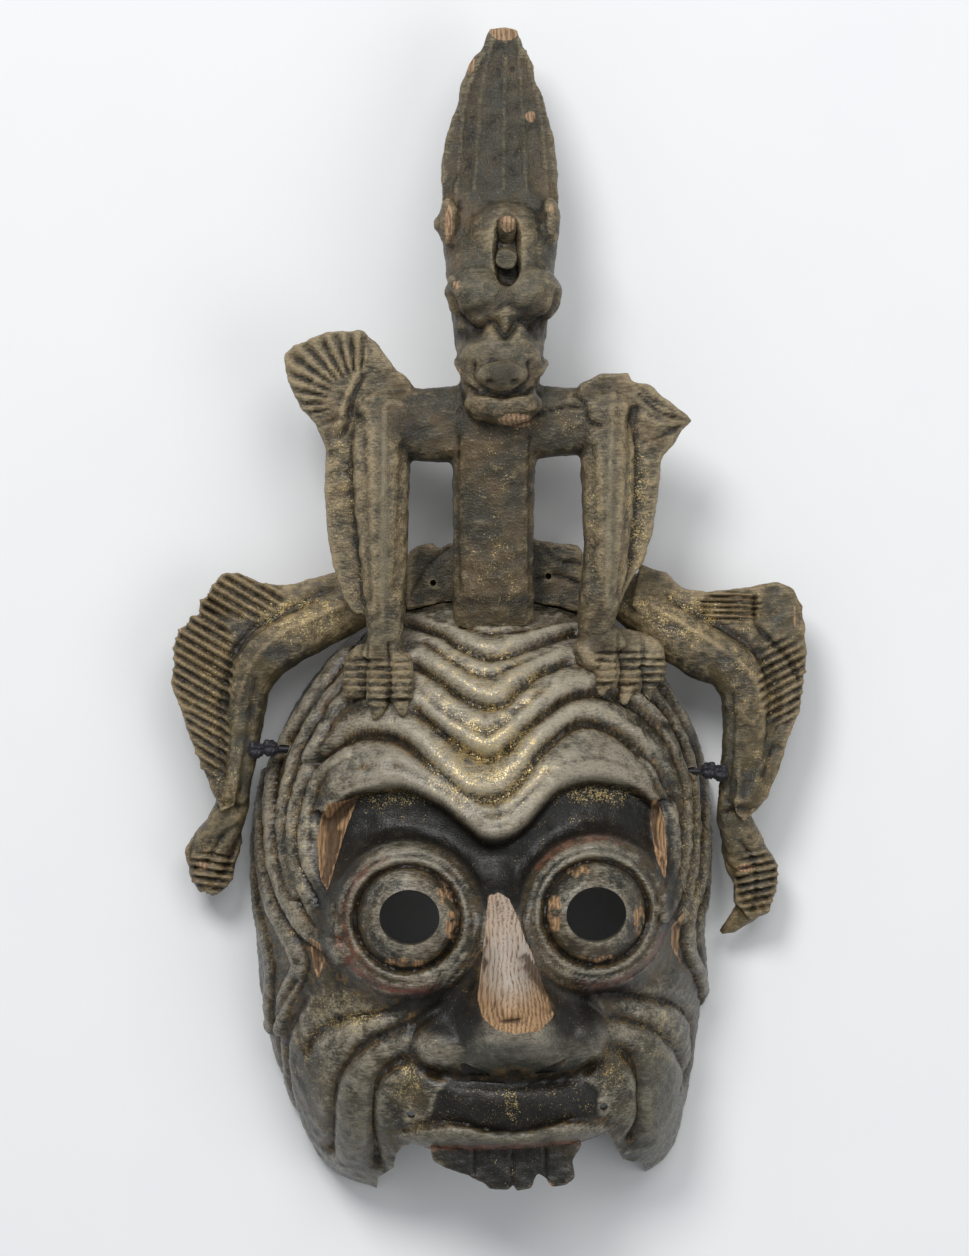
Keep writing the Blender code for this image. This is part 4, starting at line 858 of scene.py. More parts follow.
def add_plate(mesh, outline, middle, thickness):
    """A flat piece with this outline; middle gives its height over a point."""
    low, high = [], []
    for x, y in outline:
        z = middle(x, y)
        low.append(mesh.verts.new((x, y, z - thickness / 2)))
        high.append(mesh.verts.new((x, y, z + thickness / 2)))
    for k in range(len(outline)):
        j = (k + 1) % len(outline)
        mesh.faces.new((low[k], low[j], high[j], high[k]))
    ends = [mesh.faces.new(low[::-1]), mesh.faces.new(high)]
    for end in ends:
        end.normal_update()
    bmesh.ops.triangulate(mesh, faces=ends, ngon_method="EAR_CLIP")


def add_ball(mesh, centre, radii):
    place = Matrix.Translation(centre) @ Matrix.Diagonal(tuple(radii) + (1,))
    bmesh.ops.create_icosphere(mesh, subdivisions=3, radius=1, matrix=place)


def add_rod(mesh, start, end, radii, sides=48):
    """A plain bar between two points, round or oval."""
    start, end = Vector(start), Vector(end)
    axis = (end - start).normalized()
    side = axis.cross(Vector((0, 1, 0))).normalized()
    turn = Matrix((side, axis.cross(side), axis)).transposed().to_4x4()
    place = Matrix.Translation((start + end) / 2) @ turn @ Matrix.Diagonal((radii[0], radii[1], 1, 1))
    bmesh.ops.create_cone(mesh, cap_ends=True, segments=sides, radius1=1, radius2=1,
                          depth=(end - start).length, matrix=place)


def fuse(name, build, voxel, relief=None):
    """Melts the forms that build adds into one skin, then carves it from above."""
    mesh = bmesh.new()
    build(mesh)
    piece = from_bmesh(name, mesh)
    step = piece.modifiers.new("skin", "REMESH")
    step.mode = "VOXEL"
    step.voxel_size = voxel
    step.adaptivity = 0.0
    ease = piece.modifiers.new("ease", "SMOOTH")
    ease.factor = 0.5
    ease.iterations = 3
    settle(piece)
    if relief:
        points, normals = skin_arrays(piece.data)
        depth = relief(points) * np.clip(normals[:, 2] * 1.8, 0, 1)
        points = points + normals * depth[:, None]
        points = points + normals * uneven(points, LIMB_WAVES)[:, None]
        piece.data.vertices.foreach_set("co", points.ravel())
        piece.data.update()
    return piece


def skin_arrays(data):
    """The mesh's points and outward directions."""
    points = np.empty(len(data.vertices) * 3)
    data.vertices.foreach_get("co", points)
    normals = np.empty(len(data.vertices) * 3)
    data.vertex_normals.foreach_get("vector", normals)
    return points.reshape(-1, 3), normals.reshape(-1, 3)


def carved_lines(points, lines):
    """Ridges stand up and grooves go down along their lines."""
    plan = points[:, :2]
    up, down = np.zeros(len(plan)), np.zeros(len(plan))
    for height, width, line in lines:
        curve = spline(line, 6)
        low, high = curve.min(axis=0) - 3 * width, curve.max(axis=0) + 3 * width
        near = np.all((plan > low) & (plan < high), axis=1)
        if not near.any():
            continue
        away = distance(plan[near], curve) / width
        if height > 0:
            up[near] = np.maximum(up[near], height * np.exp(-np.abs(away) ** 1.5))
        else:
            down[near] = np.maximum(down[near], -height * np.exp(-away ** 2))
    return up - down


def bowl(points, form):
    """A rounded hollow: centre, radii, depth."""
    x, y, rx, ry, depth = form
    out = np.hypot((points[:, 0] - x) / rx, (points[:, 1] - y) / ry)
    return -depth * np.exp(-out ** 3)


def dragon_relief(points):
    x, y, z = points.T
    rise = carved_lines(points, DRAGON_LINES)
    for form in EYE_HOLLOWS + DRAGON_NOSTRILS:
        rise = rise + bowl(points, form)
    sx, sy, rx, ry, depth = SOCKET
    rise = rise - depth * smooth((1 - np.hypot((x - sx) / rx, (y - sy) / ry)) / 0.3)
    cx, cy, near, far, first, last, count = FAN
    angle = np.degrees(np.arctan2(y - cy, x - cx)) % 360
    out = np.hypot(x - cx, y - cy)
    turn = (angle - first) / (last - first)
    rib = np.cos(turn * 2 * math.pi * count) * smooth((out - near) / 6) * (turn > 0) * (turn < 1)
    rise = rise + np.where(x < FAN_EDGE, FAN_HEIGHT * rib, 0) * smooth((far + 8 - out) / 5)
    rings = np.zeros(len(points))
    for finger in FINGERS:
        if finger[0][2] < CLAW_ROOT:
            continue
        line = np.array(finger)[:, :2]
        top, bottom = line[0][1] + 1, line[-1][1] - 3
        here = smooth((FINGER_HALF_WIDTH - distance(points[:, :2], line)) / 1.5)
        rings = np.maximum(rings, here * smooth((top - y) / 2) * smooth((y - bottom) / 2))
    return rise + rings * RING_HEIGHT * np.cos(y * 2 * math.pi / RING_PITCH)


def hind_relief(side):
    def relief(points):
        x, y, z = points.T
        rise = carved_lines(points, HIND_LINES[side])
        for pitch, slope, height, (cx, cy, rx, ry) in HIND_RIBS[side]:
            turn = math.radians(slope)
            along = x * math.sin(turn) + y * math.cos(turn)
            here = smooth((1.15 - np.hypot((x - cx) / rx, (y - cy) / ry)) / 0.3)
            rise = rise + height * here * np.cos(along * 2 * math.pi / pitch)
        return rise
    return relief


def paw_height(x, y, radius):
    """Where the middle of a paw's form lies, so that it rests on the forehead."""
    return max(mask_top(x, y) + 0.9 * radius, PAW_FLOOR)


def build_dragon(mesh):
    """Adds the chest, head, crest, forelegs, paws and back plate."""
    add_loft(mesh, CHEST, fullness=4)
    add_loft(mesh, HEAD, fullness=2.8)
    for centre, radii in HEAD_LUMPS:
        add_ball(mesh, centre, radii)
    for path in HEAD_LIMBS:
        add_loft(mesh, path, sides=16)
    add_plate(mesh, CREST, lambda x, y: CREST_HEIGHT - CREST_SLOPE * (y - CREST_ROOT), CREST_THICKNESS)
    for path in ARMS + FORELEGS:
        add_loft(mesh, path, fullness=3)
    for outline in FINS:
        add_plate(mesh, outline, lambda x, y: FIN_HEIGHT - FIN_SLOPE * max(0, abs(x) - FIN_ROOT),
                  FIN_THICKNESS)
    for palm in PALMS:
        add_loft(mesh, [(x, y, paw_height(x, y, PAW_THICKNESS), radius, min(radius, PAW_THICKNESS))
                        for x, y, radius in palm], sides=16)
    for finger in FINGERS:
        add_loft(mesh, [(x, y, paw_height(x, y, radius), radius, radius) for x, y, radius in finger],
                 sides=16)
    low, high = BACK_PLATE_HEIGHT
    add_plate(mesh, BACK_PLATE, lambda x, y: (low + high) / 2, high - low)


def add_pegs(mesh):
    """Broken stubs of the ornament that stood in the dragon's forehead."""
    for path in PEG_STUBS:
        add_loft(mesh, path, sides=14)


def hind_leg_builder(side):
    limb = np.array(HIND_LIMBS[side], float)[:, :2]

    def fin_height(x, y):
        away = distance(np.array([[x, y]], float), limb)[0]
        return HIND_FIN_HEIGHT + HIND_FIN_SLOPE * math.exp(-away / HIND_FIN_FADE)

    def build(mesh):
        add_loft(mesh, HIND_LIMBS[side])
        add_plate(mesh, HIND_FINS[side], fin_height, FIN_THICKNESS)
        add_plate(mesh, HIND_FEET[side], lambda x, y: HIND_FOOT_HEIGHT, HIND_FOOT_THICKNESS)
    return build


def tie_path(side):
    """Start and end of the straight cord from the hollow of the mask into the shank."""
    (x, y), way, _ = TIES[side]
    return ((x - way * WALL * TIE_SLANT, y, TIE_HEIGHT), (x + way * TIE_REACH, y, TIE_HEIGHT))


def add_twist(mesh, path, radius, strands, turns):
    """Strands twisted round each other along a path."""
    curve = spline(path, 10)
    steps = np.arange(len(curve)) / (len(curve) - 1)
    tangents = np.gradient(curve, axis=0)
    tangents /= np.linalg.norm(tangents, axis=1, keepdims=True)
    for strand in range(strands):
        stations = []
        for share, centre, tangent in zip(steps, curve, tangents):
            side = np.cross(tangent, (0, 0.3, 1))
            side /= np.linalg.norm(side)
            lift = np.cross(side, tangent)
            turn = 2 * math.pi * (share * turns + strand / strands)
            centre = centre + (side * math.cos(turn) + lift * math.sin(turn)) * radius * 0.55
            stations.append(tuple(centre) + (radius * 0.5, radius * 0.5))
        add_loft(mesh, stations, fullness=2, spans=1, sides=10)


def tie_builder(side):
    _, way, knots = TIES[side]
    start, end = (np.array(point) for point in tie_path(side))

    def build(mesh):
        middle = (start + end) / 2
        add_loft(mesh, [tuple(point) + (TIE_CORD / 2,) * 2 for point in (start, middle, end)],
                 fullness=2, spans=3, sides=12)
        add_ball(mesh, start, (STOPPER_RADIUS,) * 3)
        for number, knot in enumerate(knots):
            knot = np.array(knot, float)
            rise = (knot[2] - TIE_HEIGHT) / 2
            add_ball(mesh, (knot[0], knot[1], TIE_HEIGHT + rise), (KNOT_STEM, KNOT_STEM, rise + 1))
            add_ball(mesh, knot, (KNOT_RADIUS * 0.75,) * 3)
            for loop in range(KNOT_LOOPS):
                tilt = loop * LOOP_TURN + number
                ring = []
                for turn in np.linspace(0, 2 * math.pi, 13):
                    out, over = math.cos(turn), math.sin(turn)
                    flat = np.array((out, over * math.cos(tilt), over * math.sin(tilt)))
                    ring.append(tuple(knot + flat * (KNOT_RADIUS - LOOP_INSET)))
                add_twist(mesh, ring, LOOP_CORD, 2, 5)
            add_ball(mesh, knot + (way * 1.2, 2.4, 1.2), (1.3, 1.1, 1.1))
    return build


def carve_mask():
    vertices, faces = mask_shell()
    mask = to_object("carved_mask", vertices, faces)
    cutter = bmesh.new()
    for x, y in EYE_HOLES:
        add_rod(cutter, (x, y, CUT_LOW), (x, y, CUT_HIGH), (EYE_BORE_WIDTH / 2, EYE_BORE_HEIGHT / 2), 64)
    for x, y in JAW_CORD_HOLES:
        add_rod(cutter, (x, y, CUT_LOW), (x, y, CUT_HIGH), (JAW_CORD_BORE / 2,) * 2, 24)
    for x, y in NOSTRILS:
        mouth = np.array((x, y, mask_top(x, y)))
        add_rod(cutter, mouth - NOSTRIL_WAY * NOSTRIL_LIP, mouth + NOSTRIL_WAY * NOSTRIL_DEPTH,
                (NOSTRIL_WIDTH / 2, NOSTRIL_HEIGHT / 2), 32)
    for side in range(2):
        add_rod(cutter, *tie_path(side), (TIE_BORE / 2,) * 2, 20)
    middle = (CUT_HIGH - CUT_LOW) / 2
    add_plate(cutter, JAW_GAP, lambda x, y: middle, CUT_HIGH + CUT_LOW)
    combine(mask, from_bmesh("cutter", cutter), "DIFFERENCE")
    combine(mask, carve_teeth(), "UNION")
    return mask


def carve_teeth():
    top = mask_top(*TEETH_SEAT) - TEETH_DROP

    def build(mesh):
        add_plate(mesh, TEETH, lambda x, y: top - TEETH_THICKNESS / 2, TEETH_THICKNESS)

    def relief(points):
        return carved_lines(points, [(-0.8, 0.7, line) for line in TOOTH_LINES])
    return fuse("teeth", build, TEETH_VOXEL, relief)


def mask_block():
    """Everything that lies under the mask's face, to rest the other pieces against."""
    net = outer_net(BLOCK_CELLS)
    index = np.arange(net[..., 0].size).reshape(net.shape[:2])
    border = ring(index)
    low = net.reshape(-1, 3)[border] - (0, 0, BLOCK_DEPTH)
    under = np.arange(len(border)) + net[..., 0].size
    faces = net_faces(index)
    for k in range(len(border)):
        j = (k + 1) % len(border)
        faces.append([int(border[j]), int(border[k]), int(under[k]), int(under[j])])
    faces.append(under[::-1].tolist())
    block = to_object("mask_block", np.concatenate((net.reshape(-1, 3), low)), faces)
    copy = grown(block, BLOCK_GAP)
    bpy.data.objects.remove(block, do_unlink=True)
    return copy


# Tones laid on the mask, as soft spots in plan: centre, radii, strength
GREY_SPOTS = (
    (5, -57, 22, 6, 1.0), (-54, -82, 11, 24, 0.8), (61, -76, 11, 28, 0.9), (-45, 53, 22, 9, 0.5),
    (42, 55, 20, 9, 0.5), (4.5, -89, 40, 5, 0.7), (-34, 17, 12, 5, 0.6), (38, 20, 13, 5, 0.7),
    (1, 12, 5, 8, 0.7),
)
# The last two spots paint the nostril openings black: painted shade in the pits
BLACK_SPOTS = (
    (-18, -42, 12, 10, 0.95), (29, -44, 11, 10, 0.95), (-28, -34, 10, 5, 0.9),
    (40, -33, 10, 4, 0.8), (-13, 0, 7, 16, 0.6), (14, -6, 6, 20, 0.5), (0, 21, 26, 5, 0.9),
    (-66, 6, 5, 16, 0.8), (63, 6, 4, 18, 0.8), (4, -100, 27, 9, 0.9), (-9.5, -63.2, 6.2, 1.9, 1.0),
    (18.4, -62.2, 6.2, 1.9, 1.0),
)
BARE_SPOTS = (
    (-20, 6, 6, 8, 0.5), (-17.5, -8, 4, 9, 0.52), (-36, -21.5, 11, 3, 0.5), (-51, -6, 2.5, 8, 0.42),
    (20, -3, 4, 11, 0.52), (29, 13, 6, 3.5, 0.55), (36, -20.5, 12, 3, 0.48),
    (52.5, -5, 3.5, 11, 0.48), (18, -108, 3, 3, 0.7), (-1, 22.5, 2, 2, 0.3),
)
GILT_SPOTS = (
    (-4, 54, 26, 20, 1.1), (-5, 82, 28, 20, 0.9), (-40, 40, 18, 5, 0.9), (38, 41, 20, 5, 0.9),
    (-60, -42, 14, 9, 0.9), (-72, -60, 10, 20, 0.6), (62, -48, 12, 14, 0.7), (-35, -70, 7, 12, 0.8),
    (42, -62, 7, 12, 0.7), (-78, 20, 9, 40, 0.6), (74, 20, 8, 40, 0.7), (4, -75, 4, 7, 0.9),
    (-30, -82, 5, 4, 0.7), (-44, 68, 18, 8, 0.5), (40, 72, 18, 8, 0.5),
)
RED_RINGS = (
    (-35, -5, 27.2, 185, 300, 0.9), (-35, -5, 23.5, 100, 250, 0.5), (36, -3, 27.5, 60, 150, 0.6),
    (36, -3, 27, 250, 350, 0.6),
)
RED_LIP = ((-27, -92.5), (-11.5, -92), (4.5, -91.5), (22.5, -90.5), (30.5, -90))

BLEACHED_SPOTS = ((4, -20, 12, 14, 1.0), (2, -4, 8, 12, 0.8))
RUB_SPOTS = (
    (-4, 70, 46, 44, 1.0), (-45, 53, 24, 12, 1.0), (42, 55, 22, 12, 0.8), (-34, 18, 16, 8, 0.6),
    (38, 21, 16, 8, 0.6), (-60, -46, 16, 14, 0.5), (60, -40, 14, 12, 0.4), (-80, 30, 12, 60, 0.4),
    (76, 30, 10, 50, 0.3), (4, -52, 30, 8, 0.3), (-58, -80, 16, 26, 0.3), (62, -76, 12, 26, 0.3),
)
DRAGON_RUB = (
    (-52, 150, 18, 46, 0.9), (47, 150, 16, 46, 0.85), (-62, 200, 24, 18, 0.9),
    (52, 186, 18, 14, 0.8), (0, 203, 16, 12, 0.6), (-45, 92, 16, 16, 0.7), (46, 94, 18, 16, 0.7),
    (2, 240, 20, 16, 0.45),
)
# The band at y 178 is a painted shadow of the head on the chest under the chin, and the line at y 114 is
# painted shade where the chest meets the mask
DRAGON_BLACK = (
    (0.5, 198.5, 7, 5, 0.75), (-12, 215, 6, 3, 0.7), (16, 215.5, 6, 3, 0.7), (-9, 222, 6, 5, 0.5),
    (13, 222, 6, 5, 0.5), (-36, 180, 6, 6, 0.6), (0, 178, 14, 3, 0.5), (0, 114, 16, 2, 0.6),
    (0, 292, 18, 26, 0.3),
)
LEG_RUB = (
    (-72, 112, 30, 14, 0.9), (-114, 90, 14, 34, 0.7), (-108, 20, 14, 16, 0.5),
    (-100, 118, 16, 8, 0.6), (70, 108, 30, 16, 0.85), (104, 86, 14, 34, 0.6), (96, 10, 12, 20, 0.5),
    (94, 113, 16, 8, 0.6),
)

DRAGON_BARE = (
    (1.5, 331, 6, 4, 0.9), (-19.5, 257, 1.8, 8, 0.7), (-11, 318, 2, 4, 0.6),
    (11.5, 298, 2.2, 2.5, 0.7), (2.8, 256, 3, 3.4, 0.8), (6, 182, 7, 2.5, 0.8),
    (-16.8, 199, 2.4, 4, 0.7), (19.6, 262, 1.6, 5, 0.5), (-16.6, 233, 1.8, 2.4, 0.6),
)
DRAGON_GILT = (
    (-2, 125, 12, 20, 0.6), (-2, 165, 11, 20, 0.5), (-60, 160, 6, 30, 0.7), (-54, 120, 5, 14, 0.7),
    (52, 150, 5, 30, 0.9), (48, 122, 4, 12, 0.8), (-38, 130, 4, 26, 0.6), (35, 140, 4, 26, 0.6),
    (20, 182, 14, 7, 0.5), (-58, 200, 8, 8, 0.4),
)
# The narrow strips at x -43.8 and 41.6 are a painted highlight: the blue-grey gleam along the ridges of
# the forelegs
DRAGON_GREY = (
    (2, 290, 16, 30, 0.8), (1.5, 236, 18, 12, 0.9), (-43.8, 150, 2.4, 44, 0.9),
    (41.6, 150, 2.4, 44, 0.9), (0, 205, 16, 9, 0.8), (-43, 100, 6, 6, 0.6), (42, 98, 9, 6, 0.6),
)
LEG_BARE = (
    (-114, 13, 2.2, 2.2, 1.0), (94, 12, 4, 1.8, 0.8), (112, 60, 1.6, 10, 0.6),
    (113, 108, 2, 6, 0.5), (-122, 103, 2, 2, 0.6),
)
LEG_GILT = (
    (-76, 108, 24, 10, 0.9), (-106, 80, 10, 30, 0.6), (-104, 48, 6, 16, 0.6),
    (-100, 116, 14, 9, 0.5), (66, 108, 24, 10, 0.9), (96, 84, 12, 22, 0.6), (100, 50, 6, 18, 0.6),
    (88, 112, 14, 6, 0.4), (-109, 20, 8, 8, 0.5), (92, 26, 8, 8, 0.5),
)
LEG_GREY = (
    (-99, 56, 3.5, 18, 0.7), (-104, 26, 6, 6, 0.7), (88, 26, 5, 8, 0.8), (87, 60, 4, 18, 0.6),
    (107, 106, 7, 11, 0.5),
)


def spots(points, forms):
    """How strongly a list of soft spots covers each point in plan."""
    cover = np.zeros(len(points))
    for x, y, rx, ry, strength in forms:
        out = np.hypot((points[:, 0] - x) / rx, (points[:, 1] - y) / ry)
        cover = np.maximum(cover, strength * smooth((1.5 - out) / 1.0))
    return cover


def mask_tones(points):
    plan = points[:, :2]
    x, y = plan.T
    front = smooth((points[:, 2] - 8) / 10)
    rings = [np.hypot(x - ex, y - ey) for ex, ey in EYES]
    nearest = np.minimum(*rings)
    below, across = brow_distance(x, y)
    under_brow = smooth((below - 0.5) / 2.5) * (1 - smooth((below - 22) / 12)) * across
    under_brow = under_brow * smooth((nearest - 26.5) / 3)
    black = np.maximum(0.95 * under_brow, spots(points, BLACK_SPOTS) * smooth((nearest - 26) / 3))
    black = np.maximum(black, 0.95 * smooth(inside(plan, MOUSTACHE) / 2.5 + 0.3))
    # Painted shade: a thin dark ring in the crease between each eyeball and its lid
    black = np.maximum(black, 0.6 * np.exp(-((nearest - 19.3) / 0.9) ** 2))
    bare = smooth(inside(plan, NOSE_BREAK) / 2.5 + 0.5)
    for chip in CHIPS:
        bare = np.maximum(bare, smooth(inside(plan, chip) / 2.5 + 0.6))
    bare = np.maximum(bare, spots(points, BARE_SPOTS) * np.where(nearest < 19.5, 1.0, y < -100))
    red = np.zeros(len(points))
    for ex, ey, radius, first, last, strength in RED_RINGS:
        angle = np.degrees(np.arctan2(y - ey, x - ex)) % 360
        here = smooth((angle - first) / 15) * smooth((last - angle) / 15)
        off = np.hypot(x - ex, y - ey) - radius
        red = np.maximum(red, strength * here * np.exp(-(off / 1.4) ** 2))
    red = np.maximum(red, 0.9 * np.exp(-(distance(plan, np.array(RED_LIP)) / 1.1) ** 2))
    gilt = np.maximum(spots(points, GILT_SPOTS), 0.25) * smooth((nearest - 28) / 3)
    gilt = np.maximum(gilt, 0.4 * smooth(inside(plan, MOUSTACHE) / 2))
    return {"bare": bare * front, "black": black * front, "grey": spots(points, GREY_SPOTS) * front,
            "red": red * front, "gilt": gilt * front, "rub": spots(points, RUB_SPOTS) * front,
            "bleached": spots(points, BLEACHED_SPOTS)}


def plain_tones(bare, gilt, grey, rub, black, rest):
    def tones(points):
        return {"bare": spots(points, bare), "gilt": np.maximum(spots(points, gilt), rest),
                "grey": spots(points, grey), "rub": spots(points, rub), "black": spots(points, black),
                "red": np.zeros(len(points)), "bleached": np.full(len(points), 0.2)}
    return tones


def averaged(values, edges, count, rounds):
    """Each point's value blended with its neighbours' a number of times."""
    a, b = edges.T
    share = np.bincount(a, minlength=count) + np.bincount(b, minlength=count) + 1.0
    for _ in range(rounds):
        total = values.copy()
        for k in range(values.shape[1]):
            total[:, k] += np.bincount(a, values[b, k], count) + np.bincount(b, values[a, k], count)
        values = total / share[:, None]
    return values


def lay_tones(piece, tones, spacing):
    """Writes on the skin where it is rubbed on crests, where its hollows take painted shade, and where
    it is gilt or bare.
    """
    data = piece.data
    points, normals = skin_arrays(data)
    edges = np.empty(len(data.edges) * 2, int)
    data.edges.foreach_get("vertices", edges)
    edges = edges.reshape(-1, 2)
    near = averaged(points, edges, len(points), max(2, int((1.6 / spacing) ** 2 * 2)))
    far = averaged(near, edges, len(points), max(4, int((4.0 / spacing) ** 2 * 2)))
    fine = ((points - near) * normals).sum(axis=1)
    broad = ((points - far) * normals).sum(axis=1)
    fields = {"crest": smooth(0.12 + fine * 1.2 + broad * 0.3),
              "hollow": smooth(-fine * 1.3 - broad * 0.35)}
    fields.update(tones(points))
    for name, field in fields.items():
        data.attributes.new(name, "FLOAT", "POINT").data.foreach_set("value", field.astype(np.float32))


def linear(colour):
    """A colour given as sRGB hex, turned to linear light."""
    values = [int(colour[k:k + 2], 16) / 255 for k in (1, 3, 5)]
    return tuple(v / 12.92 if v <= 0.04045 else ((v + 0.055) / 1.055) ** 2.4 for v in values) + (1.0,)


def node(tree, kind, inputs=(), output=0, **settings):
    """Adds a node with its settings, values and links, and gives the output that is used."""
    added = tree.nodes.new("ShaderNode" + kind)
    for name, value in settings.items():
        setattr(added, name, value)
    for key, value in dict(inputs).items():
        if isinstance(value, bpy.types.NodeSocket):
            tree.links.new(value, added.inputs[key])
        else:
            added.inputs[key].default_value = value
    return added.outputs[output]


def weighed(tree, *layers):
    """The layers added up, each times its weight."""
    total = 0.0
    for layer, weight in layers:
        total = node(tree, "Math", {0: layer, 1: weight, 2: total}, operation="MULTIPLY_ADD")
    return total


def coverage(tree, driver, low, high, most=1.0, where=1.0):
    """How much of a coat shows: none where its driver is low, most of it where that is high."""
    rise = node(tree, "MapRange", {"Value": driver, "From Min": low, "From Max": high, "To Max": most},
                interpolation_type="SMOOTHSTEP")
    return node(tree, "Math", {0: rise, 1: where}, operation="MULTIPLY")


def coated(tree, colour, coats):
    """The ground colour under its coats, each given by its share and its own colour."""
    for cover, coat in coats:
        over = linear(coat) if isinstance(coat, str) else coat
        colour = node(tree, "Mix", {0: cover, 6: colour, 7: over}, 2, data_type="RGBA")
    return colour


def textures(tree, place, patterns):
    """Noise patterns: each has its size in millimetres, detail, roughness and stretch."""
    made = {}
    for name, (size, detail, rough, stretch) in patterns.items():
        spot = node(tree, "Mapping", {"Vector": place, "Scale": stretch}) if stretch else place
        made[name] = node(tree, "TexNoise", {"Vector": spot, "Scale": 1 / (size * MM), "Detail": detail,
                                             "Roughness": rough}, "Fac")
    return made


def new_material(name):
    material = bpy.data.materials.new(name)
    material.use_nodes = True
    return material, material.node_tree, material.node_tree.nodes["Principled BSDF"]


def worn_lacquer(name, dark, brown, rubbed, grain, grit, crumbs, gloss, rust):
    """Dark lacquer brushed over carved wood and rubbed through.

    The eye gets a soft uneven sheen, a fine crackle, khaki crests, hollows darkened with painted shade,
    gold leaf left as flecks, and bare grain where the wood has broken. The tones laid on the skin say
    where.
    """
    material, tree, shader = new_material(name)
    place = node(tree, "TexCoord", output="Object")
    tone = {key: node(tree, "Attribute", output="Fac", attribute_name=key)
            for key in ("crest", "hollow", "rub", "grey", "black", "red", "gilt", "bare", "bleached")}
    # Brushed clouds, worn patches, specks, torn leaf, crumbs in the ground, wood fibre, brush strokes
    pattern = textures(tree, place, {
        "cloud": (14, 3, 0.55, None), "patch": (4.5, 5, 0.62, None), "speck": (0.8, 3, 0.7, None),
        "leaf": (0.65, 4, 0.75, None), "crumb": (crumbs, 2, 0.6, None),
        "fibre": (0.6, 1.5, 0.5, (1, 0.05, 1)), "stroke": (0.75, 4, 0.7, (0.22, 1, 1)),
    })
    patch, speck, fibre = pattern["patch"], pattern["speck"], pattern["fibre"]
    # Year rings in the bare wood, 1.7 mm apart, wandering as round a knot
    ring_place = node(tree, "Mapping", {"Vector": place, "Scale": (1, 0.45, 0.6)})
    year_rings = node(tree, "TexWave", {"Vector": ring_place, "Scale": WAVE_TURN / (1.7 * MM),
                                        "Distortion": 13.0, "Detail": 2.0, "Detail Scale": 0.55}, "Fac")
    figure = weighed(tree, (year_rings, 0.3), (fibre, 1.0))
    # Each pattern is about 0.5 in the mean, which the last weight of each sum takes off again
    wear = weighed(tree, (tone["crest"], 0.45), (tone["rub"], 0.4), (patch, 0.8),
                   (pattern["stroke"], 1.5), (1.0, -1.15))
    blotch = weighed(tree, (patch, 1.0), (speck, 1.0))
    flecks = weighed(tree, (tone["gilt"], 0.17), (patch, 0.4), (pattern["leaf"], 1.0))
    edge = weighed(tree, (tone["bare"], 1.0), (patch, 0.7), (1.0, -0.35))
    # Painted shade: the hollows of the skin are darkened almost to black, where shade falls in furrows
    # and creases
    painted_hollow_shade = coverage(tree, tone["hollow"], 0.12, 0.75, 0.8)
    black = coverage(tree, blotch, 0.55, 1.0, where=tone["black"])
    gold = coverage(tree, flecks, 0.9, 0.94)
    bare = coverage(tree, edge, 0.44, 0.56)
    wood = coated(tree, linear("#74543a"), (
        (coverage(tree, figure, 0.35, 0.9), "#b3916a"),
        (coverage(tree, figure, 0.25, 0.8, where=tone["bleached"]), "#aba094"),
        # painted shade: the bare wood darkens in its hollows
        (coverage(tree, tone["hollow"], 0.05, 0.7, 0.85), "#43311f"),
    ))
    colour = coated(tree, linear(dark), (
        (coverage(tree, pattern["cloud"], 0.4, 0.62), brown),
        (coverage(tree, wear, 0.05, 0.95, where=coverage(tree, speck, 0.12, 0.5)), rubbed),
        (coverage(tree, patch, 0.15, 0.6, 0.6, tone["grey"]), "#525247"),
        (coverage(tree, tone["hollow"], 0.02, 0.3, rust, coverage(tree, patch, 0.35, 0.65)), "#76592f"),
        # painted shade in the hollows
        (painted_hollow_shade, "#15130f"),
        (black, "#131210"),
        (coverage(tree, blotch, 0.8, 1.2, 0.8, tone["red"]), "#8a4b3b"),
        (weighed(tree, (gold, 0.85)), "#c9b179"),
        (bare, wood),
    ))
    tree.links.new(colour, shader.inputs["Base Color"])
    matt = weighed(tree, (patch, 0.45), (black, 0.12), (bare, 0.3), (1.0, gloss))
    tree.links.new(matt, shader.inputs["Roughness"])
    tree.links.new(weighed(tree, (gold, 0.6)), shader.inputs["Metallic"])
    shader.inputs["IOR"].default_value = 1.48
    shader.inputs["Specular IOR Level"].default_value = 0.4
    # The skin's fine relief, each layer's height in millimetres, over a crackle of 1.1 mm
    crackle = node(tree, "TexVoronoi", {"Vector": place, "Scale": 1 / (1.1 * MM)},
                   feature="DISTANCE_TO_EDGE")
    cracks = coverage(tree, crackle, 0.0, 0.12)
    height = weighed(tree, (pattern["crumb"], grit), (cracks, 0.03), (patch, 0.22), (speck, 0.06),
                     (fibre, grain), (pattern["stroke"], 0.1), (weighed(tree, (figure, bare)), 0.2))
    bump = node(tree, "Bump", {"Height": height, "Strength": 1.0, "Distance": 1.0 * MM})
    tree.links.new(bump, shader.inputs["Normal"])
    return material


def silk_cord(name):
    """Dark purple silk cord, braided: fine twisted threads with a dull sheen."""
    material, tree, shader = new_material(name)
    place = node(tree, "TexCoord", output="Object")
    threads = textures(tree, place, {"threads": (0.4, 3, 0.55, (1, 0.5, 1))})["threads"]
    colour = coated(tree, linear("#0b090d"), ((coverage(tree, threads, 0.35, 0.65), "#221b27"),))
    tree.links.new(colour, shader.inputs["Base Color"])
    shader.inputs["Roughness"].default_value = 0.5
    shader.inputs["Sheen Weight"].default_value = 0.08
    bump = node(tree, "Bump", {"Height": threads, "Strength": 0.6, "Distance": 0.3 * MM})
    tree.links.new(bump, shader.inputs["Normal"])
    return material


